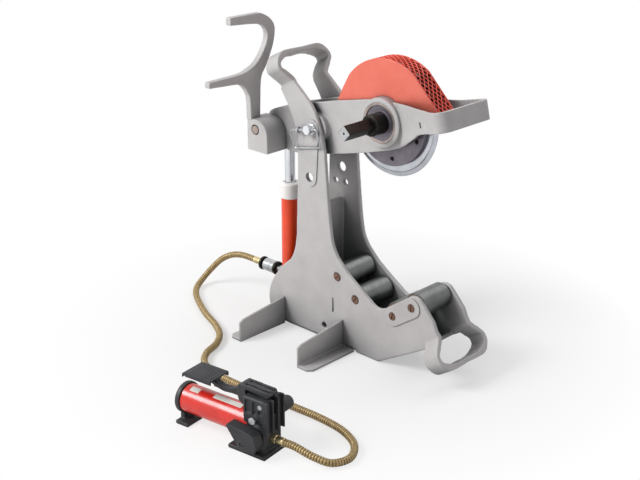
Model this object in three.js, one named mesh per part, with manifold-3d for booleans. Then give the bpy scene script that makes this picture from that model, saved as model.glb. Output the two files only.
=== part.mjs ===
// Power pipe cutter with its foot pump, in millimetres, +Z up.
// A cast frame of two plates carries four rollers for the pipe. An arm pivots at the top of the
// frame, holds the driven cutter wheel in two bearings, and is fed down by a hydraulic cylinder.
// A fork on the arm holds the power drive still. A foot pump on the floor feeds the cylinder.
// Origin: centre of the frame's base, on the floor. +X is the front, -Y the drive side.

import * as THREE from "three";
import { mergeVertices } from "three/addons/utils/BufferGeometryUtils.js";
import Module from "manifold-3d";

const wasm = await Module();
wasm.setup();

// Frame: places on its plates are shares of the plate length and height
const plateLength = 500;
const plateHeight = 500;
const plateGap = 92;
const plateWall = 10;
const pivotShares = [-0.074, 0.988];
const spareHoleShares = [-0.087, 0.764];
const padRise = 2.5;
const padHalfWidth = 21;
const webFrontShare = -0.074;
const webWall = 9;
const webTopShare = 0.624;
const floorWall = 9;
const baseRise = 6.6;
const lightHoleRadius = 7;
const lightHoleShares = [0, 0.07];
const smallHoleRadius = 6;
const smallHoleShares = [[-0.122, 0.694], [-0.062, 0.696]];
const ridgeShares = [0.047, 0.191];
const ridgeSize = [4.6, 33];
const handleDepth = 42;
const handleBand = 10;
const handleFlare = 27;
const topHandleReach = 68;
const topHandleShares = [-0.19, 1.182];
const topHandleLean = 26;
const frontHandleReach = 74;
const frontHandleShares = [0.658, 0.23];
const frontHandleLean = -146;

// Feet: angle bars that stand out of the plates
const footReach = 144;
const footHeight = 68;
const footTipHeight = 48;
const footFlange = 40;
const footWall = 5.5;
const rearFootShare = -0.252;
const frontFootShare = 0.108;

// Rollers, their axles and flanged bushes
const rollerRadius = 28;
const rollerBevel = 1.5;
const rollerEndGap = 3.2;
const axleRadius = 9;
const axleSlot = 2.4;
const axleSlotDepth = 1.6;
const axleSlotStart = 30;
const axleSlotStep = 15;
const axleRunningGap = 0.4;
const bushRadius = 25;
const bushWall = 2;
const bushFlange = 2.4;
const axleShares = [[0.079, 0.333], [0.188, 0.255], [0.409, 0.249], [0.512, 0.32]];
const axlePadRise = 3;
const axlePadHalfWidth = 25;

// Pivot pin with its locking pin and wire bail
const pinRadius = 10.5;
const pinGap = 0.3;
const pinHeadRadius = 16;
const pinHeadWall = 6;
const pinNearReach = 20;
const lockRadius = 4;
const lockNearReach = 27.5;
const lockFarReach = 19;
const lockTilt = 12;
const lockHeadRadius = 7.5;
const lockHeadWall = 6;
const lockSetback = 8;
const wireRadius = 2;
const wireSides = 6;
const wireSteps = 24;
const bailDrop = 42;
const bailReach = [57, 23.5];
const bailLean = 9;

// Arm: lengths from the pivot along and across the arm, before it is pitched up
const armPitch = 14;
const armReach = 187;
const armHalfWidth = 32;
const armWall = 6;
const armDepthAbove = 54;
const armDepthBelow = 63;
const armRear = 160;
const armRearBlock = 58;
const loopReach = 388;
const loopHalfWidth = 79;
const loopBand = 10;
const loopCorner = 24;
const pivotBossRadius = 31;
const boreBossRadius = 53;
const boreBossFace = 44;
const boreBossInner = 20;
const rodSlotHalfWidth = 13;
const rodPinRadius = 7;
const rodLever = 127;
const rodSwingAngle = 12;
const slotHoleShares = [0.79, -0.02];
const slotHoleSize = [5, 12];

// Bearings, drive shaft and cutter wheel
const bearingOuter = 42.5;
const bearingBore = 23;
const bearingWidth = 19;
const bearingRing = 5;
const bearingShieldDepth = 1;
const snapRingWall = 2.2;
const snapRingBand = 4;
const snapRingCut = 9;
const fitGap = 0.3;
const wheelRadius = 122;
const wheelWall = 9;
const wheelEdgeWall = 1;
const wheelHubRadius = 98;
const wheelBevelShare = 0.62;
const hubPlateWall = 9;
const hubScrewRadius = 4;
const hubScrewHead = 2.2;
const hubScrewCircle = 82;
const hubScrewCount = 6;
const hubScrewPhase = 24;
const driveSquare = 23.8;
const driveSquareLength = 76;
const driveEnd = 151;
const driveTurn = 34;
const shaftCollar = 26.5;
const shaftChamfer = 2;
const centreHoleRadius = 1.5;
const wheelStep = 1;

// Guard over the wheel: a solid rear band, then expanded metal down to the front
const guardRadius = 131;
const guardHalfWidth = 25.6;
const guardWall = 1.6;
const guardRearShare = 0.61;
const guardFrontShare = 0.74;
const guardFoot = 9;
const guardTailReach = 10;
const guardTailDrop = 14;
const meshRows = 7;
const meshColumns = 4;
const meshStrand = 2.2;
const meshEdge = 2.4;

// Support yoke for the power drive
const yokeBlockLength = 60;
const yokeBlockHeight = 74;
const yokeBlockWidth = 64;
const yokeBlockRound = 36;
const yokePlate = 16;
const yokeSpan = 188;
const yokeRise = 226;
const yokeBoltRadius = 8;
const yokeBoltHead = 11;
const yokeBoltHeadWall = 3;
const yokeBoltShares = [0.4, 0.68];
const yokeBehindPivot = 168;
const yokeBelowPivot = 74;

// Hydraulic cylinder between the plates
const cylinderRadius = 21;
const cylinderBore = 17;
const cylinderBase = 40;
const cylinderTopShare = 0.586;
const collarRadius = 24;
const collarHeight = 38;
const collarRound = 4;
const rodRadius = 12;
const rodEyeRadius = 14;
const rodEyeHalfWidth = 12;
const rodEyeClear = 2.4;
const pistonHeight = 16;
const pistonPlay = 0.4;
const springPlay = 0.6;
const springWall = 3.6;
const footBoltRadius = 6;
const footBoltHead = 9;
const footBoltHeadWall = 4;
const footBoltDepth = 22;

// Quick coupler and hose
const portHeightShare = 0.198;
const nippleRadius = 8;
const nippleReach = 22;
const couplerRadius = 14.5;
const couplerLength = 54;
const couplerCore = 9.5;
const sleeveTravel = 5;
const ringLength = 7;
const ringProud = 1;
const ferruleRadius = 8.4;
const ferruleLength = 28;
const hoseRadius = 7.8;
const hoseBore = 4.4;
const hoseSides = 12;
const hoseStep = 2;

// Foot pump, in its own frame: x from the end cap to the head
const pumpPlace = [135, -494];
const pumpTurn = 8;
const tankRadius = 29;
const tankWall = 2.5;
const tankLength = 160;
const tankAxis = 50;
const capWall = 12;
const capProud = 3.5;
const rearFootSize = [32, 60, 9];
const headSize = [52, 54, 118];
const headBaseSize = [90, 78, 9];
const headFinCount = 4;
const headFinWall = 4;
const headFinDepth = 9;
const treadleAxis = 104;
const treadlePinRadius = 5;
const treadleArmHalfWidth = 7;
const treadlePlay = 1;
const treadleArmDepth = 18;
const treadleReach = 150;
const padSize = [74, 56, 6];
const plungerRadius = 7;
const plungerArm = 22;
const plungerLength = 58;
const plungerStroke = 18;
const releaseSize = [70, 24, 26];
const releasePinRadius = 4;
const barrelRadius = 14;
const barrelLength = 44;
const reliefRadius = 5.5;
const reliefLength = 14;
const fittingRadius = 10;
const fittingReach = 18;
const fittingHeight = 30;
const socketDepth = 10;
const bite = 1;

const roundSides = 20;
const smallSides = 14;
const wheelSides = 32;
const cornerSteps = 4;
const crownSteps = 7;
const overrun = 3;
const half = 2;
const quarterTurn = Math.PI / 2;
const radians = THREE.MathUtils.degToRad;

// Materials
const paint = new THREE.MeshStandardMaterial({ color: 0xbdbab5, roughness: 0.5, metalness: 0.1 });
const guardPaint = new THREE.MeshStandardMaterial({ color: 0xf0553f, roughness: 0.5, metalness: 0.0 });
const cylinderPaint = new THREE.MeshStandardMaterial({ color: 0xe8512c, roughness: 0.35, metalness: 0.0 });
const cream = new THREE.MeshStandardMaterial({ color: 0xe6ded2, roughness: 0.5, metalness: 0.0 });
const chrome = new THREE.MeshStandardMaterial({ color: 0xd5d8dc, roughness: 0.12, metalness: 1.0 });
const steel = new THREE.MeshStandardMaterial({ color: 0xb4b6b9, roughness: 0.3, metalness: 1.0 });
const blackSteel = new THREE.MeshStandardMaterial({ color: 0x3a3a38, roughness: 0.5, metalness: 0.8 });
const rollerSteel = new THREE.MeshStandardMaterial({ color: 0x6b6e6c, roughness: 0.4, metalness: 0.8 });
const bronze = new THREE.MeshStandardMaterial({ color: 0x8a6256, roughness: 0.5, metalness: 0.7 });
const hubMetal = new THREE.MeshStandardMaterial({ color: 0x77727a, roughness: 0.45, metalness: 0.7 });
const brass = new THREE.MeshStandardMaterial({ color: 0xb99a5c, roughness: 0.35, metalness: 0.9 });
const hoseCover = new THREE.MeshStandardMaterial({ color: 0xa08a58, roughness: 0.5, metalness: 0.0 });
const tankPaint = new THREE.MeshStandardMaterial({ color: 0xe0281f, roughness: 0.3, metalness: 0.0 });
const pumpBlack = new THREE.MeshStandardMaterial({ color: 0x2c2d30, roughness: 0.6, metalness: 0.1 });

// Solids

function solid(geometry) {
  const bare = geometry.clone();
  bare.deleteAttribute("normal");
  bare.deleteAttribute("uv");
  const merged = mergeVertices(bare, 1e-4);
  return new wasm.Manifold(new wasm.Mesh({
    numProp: 3,
    vertProperties: new Float32Array(merged.attributes.position.array),
    triVerts: new Uint32Array(merged.index.array),
  }));
}

function fromSolid(body) {
  const data = body.getMesh();
  const geometry = new THREE.BufferGeometry();
  const positions = new Float32Array((data.vertProperties.length / data.numProp) * 3);
  for (let i = 0; i < positions.length / 3; i += 1) {
    positions[3 * i] = data.vertProperties[data.numProp * i];
    positions[3 * i + 1] = data.vertProperties[data.numProp * i + 1];
    positions[3 * i + 2] = data.vertProperties[data.numProp * i + 2];
  }
  geometry.setAttribute("position", new THREE.BufferAttribute(positions, 3));
  geometry.setIndex(new THREE.BufferAttribute(new Uint32Array(data.triVerts), 1));
  geometry.computeVertexNormals();
  return geometry;
}

function join(...geometries) {
  return fromSolid(geometries.map(solid).reduce((whole, piece) => whole.add(piece)));
}

function cut(base, ...tools) {
  return fromSolid(tools.map(solid).reduce((whole, tool) => whole.subtract(tool), solid(base)));
}

function overlap(a, b) {
  return fromSolid(solid(a).intersect(solid(b)));
}

// A box from its lowest to its highest corner
function block(low, high) {
  const size = high.map((value, i) => value - low[i]);
  const box = new THREE.BoxGeometry(size[0], size[1], size[2]);
  return box.translate(low[0] + size[0] / half, low[1] + size[1] / half, low[2] + size[2] / half);
}

// A round bar along Y, at (x, z)
function barY(radius, low, high, x = 0, z = 0, sides = roundSides) {
  const bar = new THREE.CylinderGeometry(radius, radius, high - low, sides);
  return bar.translate(x, (low + high) / half, z);
}

// A round bar along X, at (y, z)
function barX(radius, low, high, y = 0, z = 0, sides = roundSides) {
  const bar = new THREE.CylinderGeometry(radius, radius, high - low, sides);
  return bar.rotateZ(quarterTurn).translate((low + high) / half, y, z);
}

// A round bar along Z, at (x, y)
function barZ(radius, low, high, x = 0, y = 0, sides = roundSides) {
  const bar = new THREE.CylinderGeometry(radius, radius, high - low, sides);
  return bar.rotateX(quarterTurn).translate(x, y, (low + high) / half);
}

// A profile of [radius, place] pairs turned about Y
function turned(profile, sides = roundSides) {
  return new THREE.LatheGeometry(profile.map(([r, y]) => new THREE.Vector2(r, y)), sides);
}

// An (x, z) shape made solid from one y to another
function slab(shape, low, high, curveSegments = 6) {
  const plate = new THREE.ExtrudeGeometry(shape, { depth: high - low, bevelEnabled: false, curveSegments });
  return plate.rotateX(quarterTurn).translate(0, high, 0);
}

function shapeOf(points) {
  return new THREE.Shape(points.map(([a, b]) => new THREE.Vector2(a, b)));
}

// Points along a smooth curve through the given ones
function smooth(points, steps = 3) {
  const curve = new THREE.SplineCurve(points.map(([a, b]) => new THREE.Vector2(a, b)));
  return curve.getPoints(steps * (points.length - 1)).map((p) => [p.x, p.y]);
}

function obround(from, to, radius) {
  const shape = new THREE.Shape();
  const heading = Math.atan2(to[1] - from[1], to[0] - from[0]);
  shape.absarc(from[0], from[1], radius, heading + quarterTurn, heading + 3 * quarterTurn, false);
  shape.absarc(to[0], to[1], radius, heading - quarterTurn, heading + quarterTurn, false);
  return shape;
}

const root = new THREE.Group();

function part(name, geometry, material, parent = root) {
  const mesh = new THREE.Mesh(geometry, material);
  mesh.name = name;
  parent.add(mesh);
  return mesh;
}

// Places in the frame
const plateInner = plateGap / half;
const plateOuter = plateInner + plateWall;
const onPlate = ([along, up]) => [along * plateLength, up * plateHeight];
const [pivotX, pivotZ] = onPlate(pivotShares);

// Frame plates: one outline, worked in shares from the rear bulge to the front handle
const plateTopShares = [[-0.19, 1.182], [-0.084, 1.092], [-0.04, 1.024], [-0.016, 0.96], [0, 0.89]];
const plateColumnShares = [[0.014, 0.736], [0.024, 0.64], [0.036, 0.544], [0.052, 0.472], [0.08, 0.424]];
const plateSlopeShares = [[0.14, 0.366], [0.21, 0.318], [0.27, 0.28], [0.3, 0.261], [0.33, 0.256], [0.362,
    0.268]];
const plateNoseShares = [[0.478, 0.352], [0.506, 0.37], [0.54, 0.371], [0.566, 0.352], [0.626, 0.288]];
const plateFrontShares = [[0.654, 0.23], [0.584, 0.18], [0.576, 0.142], [0.33, 0]];
const plateBulgeShares = [[-0.345, 0.024], [-0.362, 0.1], [-0.35, 0.17], [-0.308, 0.242], [-0.26, 0.298],
  [-0.212, 0.342], [-0.186, 0.4], [-0.174, 0.47]];
const plateRearShares = [[-0.166, 0.7], [-0.164, 0.846], [-0.172, 0.96], [-0.22, 1.062], [-0.268, 1.134]];

function plateOutline() {
  const rearFloor = [plateBulgeShares[0][0] * plateLength, baseRise];
  const step = (frontFootShare * plateLength) + footFlange;
  return shapeOf([
    ...smooth(plateTopShares.map(onPlate), 2),
    ...smooth(plateColumnShares.map(onPlate), 2),
    ...smooth(plateSlopeShares.map(onPlate), 2),
    ...smooth(plateNoseShares.map(onPlate), 2),
    ...plateFrontShares.map(onPlate),
    [step + baseRise, 0],
    [step, baseRise],
    rearFloor,
    ...smooth(plateBulgeShares.map(onPlate), 2),
    ...plateRearShares.map(onPlate),
  ]);
}

// A flared loop from the ends of two plates: half of it in (y, reach), mirrored and thickened
function handleLoop(startShares, lean, reach) {
  const wide = plateOuter + handleFlare;
  const shoulder = reach - handleFlare;
  const outer = smooth([[plateOuter, -handleBand], [plateOuter, 0], [wide - handleBand, handleBand * half],
    [wide, reach / half], [wide - handleBand / half, shoulder + handleBand], [plateOuter, reach],
    [0, reach]], 3);
  const inner = smooth([[plateInner, -handleBand], [plateInner, handleBand / half],
    [wide - handleBand * half, handleBand * half + handleBand / half], [wide - handleBand, reach / half],
    [wide - handleBand * 3 / half, shoulder + handleBand / half], [plateInner - handleBand,
        reach - handleBand],
    [0, reach - handleBand]], 3);
  const mirror = (points) => points.slice(0, -1).reverse().map(([y, s]) => [-y, s]);
  const band = shapeOf([...outer, ...mirror(outer), ...mirror(inner).reverse(),
      ...inner.slice().reverse()]);
  const loop = new THREE.ExtrudeGeometry(band, { depth: handleDepth, bevelEnabled: false });
  const [x, z] = onPlate(startShares);
  const angle = radians(lean);
  const along = new THREE.Vector3(-Math.sin(angle), 0, Math.cos(angle));
  const across = new THREE.Vector3(0, 1, 0);
  const back = new THREE.Vector3().crossVectors(across, along);
  const place = new THREE.Matrix4().makeBasis(across, along, back);
  const setback = back.x > 0 ? -handleDepth : 0;
  place.setPosition(x + back.x * setback, 0, z + back.z * setback);
  return loop.applyMatrix4(place);
}

function frameCasting() {
  const outline = plateOutline();
  const near = slab(outline, -plateOuter, -plateInner);
  const far = slab(outline, plateInner, plateOuter);
  const webFront = webFrontShare * plateLength;
  const reachIn = plateInner + overrun;
  const web = block([webFront - webWall, -reachIn, baseRise], [webFront, reachIn,
      webTopShare * plateHeight]);
  const rearFloorX = plateBulgeShares[0][0] * plateLength;
  const [rampTop, rampFoot] = plateFrontShares.slice(-2).map(onPlate);
  const floorPlate = block([rearFloorX, -reachIn, 0], [rampFoot[0], reachIn, floorWall]);
  const rise = new THREE.Vector2(rampTop[0] - rampFoot[0], rampTop[1] - rampFoot[1]).normalize();
  const lift = [-rise.y * floorWall, rise.x * floorWall];
  const step = (frontFootShare * plateLength) + footFlange + baseRise;
  const frontFloor = slab(shapeOf([
    [step, 0], rampFoot, rampTop, [rampTop[0] + lift[0], rampTop[1] + lift[1]],
    [rampFoot[0] + lift[0], floorWall], [step, floorWall],
  ]), -reachIn, reachIn);
  const spare = onPlate(spareHoleShares);
  const pinPad = slab(obround([pivotX, pivotZ], spare, padHalfWidth), -plateOuter - padRise,
      -plateOuter + overrun);
  const axles = axleShares.map(onPlate);
  const axlePad = slab(obround(axles[2], axles[3], axlePadHalfWidth),
    -plateOuter - axlePadRise, -plateOuter + overrun);
  const ridge = onPlate(ridgeShares);
  const rib = block([ridge[0], -plateOuter - padRise, ridge[1] - ridgeSize[1] / half],
    [ridge[0] + ridgeSize[0], -plateOuter + overrun, ridge[1] + ridgeSize[1] / half]);
  const noseTrim = slab(outline, -plateOuter - axlePadRise - overrun, -plateInner);
  const pads = overlap(join(pinPad, axlePad, rib), noseTrim);
  const body = join(near, far, web, floorPlate, frontFloor, pads,
    handleLoop(topHandleShares, topHandleLean, topHandleReach),
    handleLoop(frontHandleShares, frontHandleLean, frontHandleReach));
  const through = plateOuter + axlePadRise + overrun;
  const light = onPlate(lightHoleShares);
  const holes = [
    barY(pinRadius + pinGap, -through, through, pivotX, pivotZ),
    barY(pinRadius + pinGap, -through, through, spare[0], spare[1]),
    barY(lightHoleRadius, -through, -plateInner + overrun, light[0], light[1], smallSides),
    ...smallHoleShares.map(onPlate).map(([x, z]) =>
      barY(smallHoleRadius, plateInner - overrun, through, x, z, smallSides)),
    ...axles.map(([x, z]) => barY(axleRadius + pinGap, -through, through, x, z)),
    barZ(footBoltRadius + fitGap, -overrun, floorWall + overrun, rodLineX, 0, smallSides),
    barZ(footBoltHead + fitGap, -overrun, footBoltHeadWall + half * fitGap, rodLineX, 0, smallSides),
  ];
  return cut(body, ...holes);
}

// Cylinder line: straight under the middle of the rod pin's short arc
const rodSwing = radians(rodSwingAngle);
const rodPinDrop = rodLever * Math.sin(rodSwing);
const rodLineX = pivotX - rodLever * (1 + Math.cos(rodSwing)) / half;
const cylinderFoot = floorWall + fitGap;

part("frame_casting", frameCasting(), paint);

// Feet
function foot(side, x) {
  const start = plateOuter + fitGap;
  const end = plateOuter + footReach;
  const upright = shapeOf([[start, 0], [end, 0], [end, footTipHeight], [end - footWall * half,
      footTipHeight + footWall],
    [start, footHeight]]);
  const wall = new THREE.ExtrudeGeometry(upright, { depth: footWall, bevelEnabled: false });
  const place = new THREE.Matrix4().makeBasis(new THREE.Vector3(0, 1, 0), new THREE.Vector3(0, 0, 1),
    new THREE.Vector3(1, 0, 0));
  wall.applyMatrix4(place);
  return [wall, start, end, side, x];
}

function angleFoot(side, x, outward) {
  const [wall, start, end] = foot(side, x);
  const tip = end - footWall * half;
  const flangeShape = shapeOf([[0, start], [footFlange, start], [footFlange, tip],
      [footFlange - footWall * half, end],
    [0, end]]);
  const flange = new THREE.ExtrudeGeometry(flangeShape, { depth: footWall, bevelEnabled: false });
  const bar = join(wall, flange);
  const body = solid(bar).transform([outward, 0, 0, 0, 0, side, 0, 0, 0, 0, 1, 0, x, 0, 0, 1]);
  return fromSolid(body);
}

for (const [end, share, outward] of [["rear", rearFootShare, -1], ["front", frontFootShare, 1]]) {
  for (const [name, side] of [["near", -1], ["far", 1]]) {
    part(`foot_${end}_${name}`, angleFoot(side, share * plateLength, outward), paint);
  }
}

// Rollers on fixed axles, each on a flanged bronze bush
axleShares.map(onPlate).forEach(([x, z], i) => {
  const number = i + 1;
  const face = i < 2 ? plateOuter : plateOuter + axlePadRise;
  const axle = barY(axleRadius, -face - axleSlotDepth / half, plateOuter, x, z);
  const slot = block([-axleSlot / half, -face - overrun, -axleRadius - overrun],
    [axleSlot / half, -face + axleSlotDepth, axleRadius + overrun]);
  slot.rotateY(radians(axleSlotStart + number * axleSlotStep)).translate(x, 0, z);
  part(`roller_axle_${number}`, cut(axle, slot), bronze);
  const end = plateInner - rollerEndGap;
  const bore = axleRadius + axleRunningGap;
  const sleeve = bore + bushWall;
  const seat = sleeve + fitGap;
  const flangeLow = -plateInner + fitGap;
  const flangeHigh = flangeLow + bushFlange;
  part(`roller_${number}`, turned([[seat, -end], [rollerRadius - rollerBevel, -end], [rollerRadius,
      -end + rollerBevel],
    [rollerRadius, end - rollerBevel], [rollerRadius - rollerBevel, end], [seat, end], [seat, -end]])
    .translate(x, 0, z), rollerSteel);
  part(`roller_bush_${number}`, turned([[bore, flangeLow], [bushRadius, flangeLow], [bushRadius,
      flangeHigh],
    [sleeve, flangeHigh], [sleeve, end], [bore, end], [bore, flangeLow]]).translate(x, 0, z), bronze);
});

// Pivot pin, its locking pin and the wire bail
const pinNear = -plateOuter - pinNearReach;
const lockY = pinNear + lockSetback;
const lock = new THREE.Group();
lock.position.set(pivotX, lockY, pivotZ);
lock.rotation.y = -radians(lockTilt);
root.add(lock);
lock.updateMatrixWorld(true);

function pivotPin() {
  const shank = barY(pinRadius, pinNear, plateOuter + overrun, pivotX, pivotZ);
  const head = barY(pinHeadRadius, plateOuter + fitGap, plateOuter + fitGap + pinHeadWall, pivotX, pivotZ);
  const hole = barX(lockRadius + fitGap, -lockNearReach, lockNearReach, 0, 0, smallSides);
  return cut(join(shank, head), hole.applyMatrix4(lock.matrixWorld));
}

part("pivot_pin", pivotPin(), chrome);

const lockEye = wireRadius + half * fitGap;

function lockPin() {
  const shank = barX(lockRadius, -lockNearReach, lockFarReach, 0, 0, smallSides);
  const head = barX(lockHeadRadius, -lockNearReach - lockHeadWall, -lockNearReach, 0, 0, smallSides);
  const eye = barX(lockEye, -lockNearReach - lockHeadWall - overrun, lockFarReach + overrun, 0, 0,
      smallSides);
  return cut(join(shank, head), eye);
}

part("lock_pin", lockPin(), steel, lock);

// The bail's two ends turn in the locking pin's ends
function wireBail() {
  const [left, right] = bailReach;
  const bend = wireRadius * half;
  const points = [[-lockNearReach, 0], [bend - left, 0], [-left, -bend], [-left, bend - bailDrop],
    [bend - left, -bailDrop], [right - bend, -bailDrop], [right, bend - bailDrop], [right, -bend],
    [right - bend, 0], [lockFarReach - lockHeadWall, 0]]
    .map(([x, drop]) => new THREE.Vector3(x, 0, drop));
  const path = new THREE.CatmullRomCurve3(points, false, "catmullrom", 0.05);
  const ring = shapeOf(Array.from({ length: wireSides }, (_, i) => {
    const angle = half * Math.PI * i / wireSides;
    return [wireRadius * Math.cos(angle), wireRadius * Math.sin(angle)];
  }));
  return fromSolid(solid(new THREE.ExtrudeGeometry(ring, { steps: wireSteps, extrudePath: path })))
    .rotateX(radians(bailLean));
}

part("wire_bail", wireBail(), steel, lock);

// Arm group: its own x runs from the pivot to the front, z across it
const arm = new THREE.Group();
arm.position.set(pivotX, 0, pivotZ);
arm.rotation.y = -radians(armPitch);
root.add(arm);

// Side view of the arm, in lengths along it and depths above and below the pivot line
const armTopShares = [[-1, 0.5], [-0.95, 0.78], [-0.84, 0.89], [-0.6, 0.94]];
const armNeckShares = [[0.585, 0.72], [0.7, 0.57], [0.8, 0.42], [1, 0.32]];
const armChinShares = [[1, -0.38], [0.78, -0.43], [0.7, -0.6], [0.6, -0.84], [0.53, -0.93], [0.45, -0.97],
    [0.2, -1]];
const armTailShares = [[-0.5, -0.9], [-0.97, -0.5]];

function armProfile() {
  const above = ([along, up]) => [along * loopReach, up * armDepthAbove];
  const below = ([along, up]) => [along * loopReach, up * armDepthBelow];
  const rearAbove = ([along, up]) => [along * armRear, up * armDepthAbove];
  const rearBelow = ([along, up]) => [along * armRear, -up * -armDepthBelow];
  const crown = Array.from({ length: crownSteps }, (_, i) => {
    const angle = quarterTurn + (1 - i) * quarterTurn / cornerSteps;
    return [armReach + boreBossRadius * Math.cos(angle), boreBossRadius * Math.sin(angle)];
  }).filter(([, z]) => z > boreBossRadius / half);
  return shapeOf([
    ...smooth(armTopShares.map(rearAbove), 2), [armReach / 3, armDepthAbove * 0.98], ...crown,
    ...armNeckShares.map(above), ...armChinShares.map(below), ...armTailShares.map(rearBelow),
  ]);
}

// Plan view of the arm: straight walls that flare into the front loop
function armPlan(inset, front, rear) {
  const side = armHalfWidth - inset;
  const flareStart = armReach + boreBossRadius / half;
  const wide = loopHalfWidth - inset;
  const corner = loopCorner - inset;
  const right = [[rear, side], [flareStart, side], [flareStart + loopCorner, side + overrun],
    [front - loopCorner * half, wide - loopCorner / 3], ...Array.from({ length: cornerSteps + 1 }, (_,
        i) => {
      const angle = quarterTurn * (1 - i / cornerSteps);
      return [front - corner + corner * Math.cos(angle), wide - corner + corner * Math.sin(angle)];
    })];
  const left = right.slice().reverse().map(([x, y]) => [x, -y]);
  return shapeOf([...right, ...left]);
}

const bearingInner = boreBossFace - snapRingWall - fitGap - bearingWidth;

function armCasting() {
  const tall = armDepthAbove + armDepthBelow;
  const upright = (shape) => new THREE.ExtrudeGeometry(shape, { depth: half * tall, bevelEnabled: false })
    .translate(0, 0, -tall);
  const outside = upright(armPlan(0, loopReach, -armRear));
  const inside = upright(armPlan(armWall, loopReach - loopBand, armRearBlock - armRear));
  const profile = slab(armProfile(), -loopHalfWidth - overrun, loopHalfWidth + overrun);
  const shell = overlap(cut(outside, inside), profile);
  const bosses = [-1, 1].flatMap((side) => {
    const span = (a, b) => (side < 0 ? [-b, -a] : [a, b]);
    const bore = span(boreBossInner, boreBossFace);
    const pivot = span(armHalfWidth - armWall, plateInner - fitGap);
    return [barY(boreBossRadius, bore[0], bore[1], armReach, 0), barY(pivotBossRadius, pivot[0], pivot[1])];
  });
  const wide = loopHalfWidth + overrun;
  const bolt = yokeBoltInArm();
  const pin = rodPinInArm();
  const slotHole = slotHoleShares[0] * loopReach;
  const cuts = [
    barY(bearingOuter + fitGap, bearingInner - fitGap, wide, armReach, 0),
    barY(bearingOuter + fitGap, -wide, -bearingInner + fitGap, armReach, 0),
    barY(bearingOuter - bearingRing, -wide, wide, armReach, 0),
    barY(pinRadius + pinGap, -wide, wide),
    barY(yokeBoltRadius + fitGap, -wide, -rodSlotHalfWidth - overrun, bolt[0], bolt[1], smallSides),
    barY(rodPinRadius + fitGap, -armHalfWidth + armWall, armHalfWidth - armWall, pin[0], pin[1],
        smallSides),
    block([-armRear - overrun, -rodSlotHalfWidth, -tall], [armRearBlock - armRear + overrun,
        rodSlotHalfWidth,
      pin[1] + rodEyeRadius + rodEyeClear + overrun]),
    block([slotHole, -wide, slotHoleShares[1] * loopReach - slotHoleSize[1] / half],
      [slotHole + slotHoleSize[0], 0, slotHoleShares[1] * loopReach + slotHoleSize[1] / half]),
  ];
  return cut(join(shell, ...bosses), ...cuts);
}

// A place in the frame turned into the arm's own frame
function intoArm(x, z) {
  const angle = radians(armPitch);
  const dx = x - pivotX;
  const dz = z - pivotZ;
  return [dx * Math.cos(angle) + dz * Math.sin(angle), dz * Math.cos(angle) - dx * Math.sin(angle)];
}

function rodPinInArm() {
  return intoArm(pivotX - rodLever * Math.cos(rodSwing), pivotZ - rodPinDrop);
}

const yokeX = pivotX - yokeBehindPivot;
const yokeZ = pivotZ - yokeBelowPivot;
const yokeBoltX = yokeX + yokeBoltShares[0] * yokeBlockWidth;
const yokeBoltZ = yokeZ + yokeBoltShares[1] * yokeBlockHeight;

function yokeBoltInArm() {
  return intoArm(yokeBoltX, yokeBoltZ);
}

part("arm_casting", armCasting(), paint, arm);

const rodPinPlace = rodPinInArm();
const rodPinHalf = armHalfWidth - armWall - fitGap;
part("rod_pin", barY(rodPinRadius, -rodPinHalf, rodPinHalf, rodPinPlace[0], rodPinPlace[1], smallSides),
    steel, arm);

// Bearings: rings with a shielded face, and the snap ring outside each
function bearing() {
  const side = bearingWidth / half;
  const outerIn = bearingOuter - bearingRing;
  const innerOut = bearingBore + bearingRing;
  const shield = side - bearingShieldDepth;
  return turned([[bearingBore, -side], [innerOut, -side], [innerOut, -shield], [outerIn, -shield],
    [outerIn, -side], [bearingOuter, -side], [bearingOuter, side], [outerIn, side], [outerIn, shield],
    [innerOut, shield], [innerOut, side], [bearingBore, side], [bearingBore, -side]]);
}

function snapRing() {
  const low = -snapRingWall / half;
  const high = snapRingWall / half;
  const inside = bearingOuter - snapRingBand;
  const ring = turned([[inside, low], [bearingOuter, low], [bearingOuter, high], [inside, high], [inside,
      low]]);
  const gap = block([-bearingOuter - overrun, low - overrun, -snapRingCut / half],
    [-inside + snapRingBand, high + overrun, snapRingCut / half]);
  return cut(ring, gap);
}

for (const [name, side] of [["near", -1], ["far", 1]]) {
  const middle = side * (bearingInner + bearingWidth / half);
  part(`bearing_${name}`, bearing().translate(armReach, middle, 0), steel, arm);
  const seat = side * (bearingInner + bearingWidth + fitGap + snapRingWall / half);
  part(`snap_ring_${name}`, snapRing().translate(armReach, seat, 0), steel, arm);
}

// Drive shaft: collar, bearing seats and the square end for the drive
function driveShaft() {
  const seat = bearingBore - fitGap;
  const squareStart = -driveEnd + driveSquareLength;
  const farEnd = boreBossFace - snapRingWall;
  const plateFace = wheelWall / half + hubPlateWall;
  const collarEnd = bearingInner - fitGap;
  const round = turned([[0, squareStart], [seat - shaftChamfer, squareStart], [seat,
      squareStart + shaftChamfer], [seat, -collarEnd],
    [shaftCollar, -collarEnd], [shaftCollar, collarEnd], [seat, collarEnd], [seat, farEnd], [0, farEnd]]);
  const side = driveSquare / half;
  const square = block([-side, -driveEnd, -side], [side, squareStart + overrun, side]);
  const centre = barY(centreHoleRadius, -driveEnd - overrun, -driveEnd + plateFace, 0, 0, smallSides);
  const turnedSquare = cut(square, centre).rotateY(-radians(driveTurn));
  return join(round, turnedSquare).translate(armReach, 0, 0);
}

part("drive_shaft", driveShaft(), blackSteel, arm);

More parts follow.
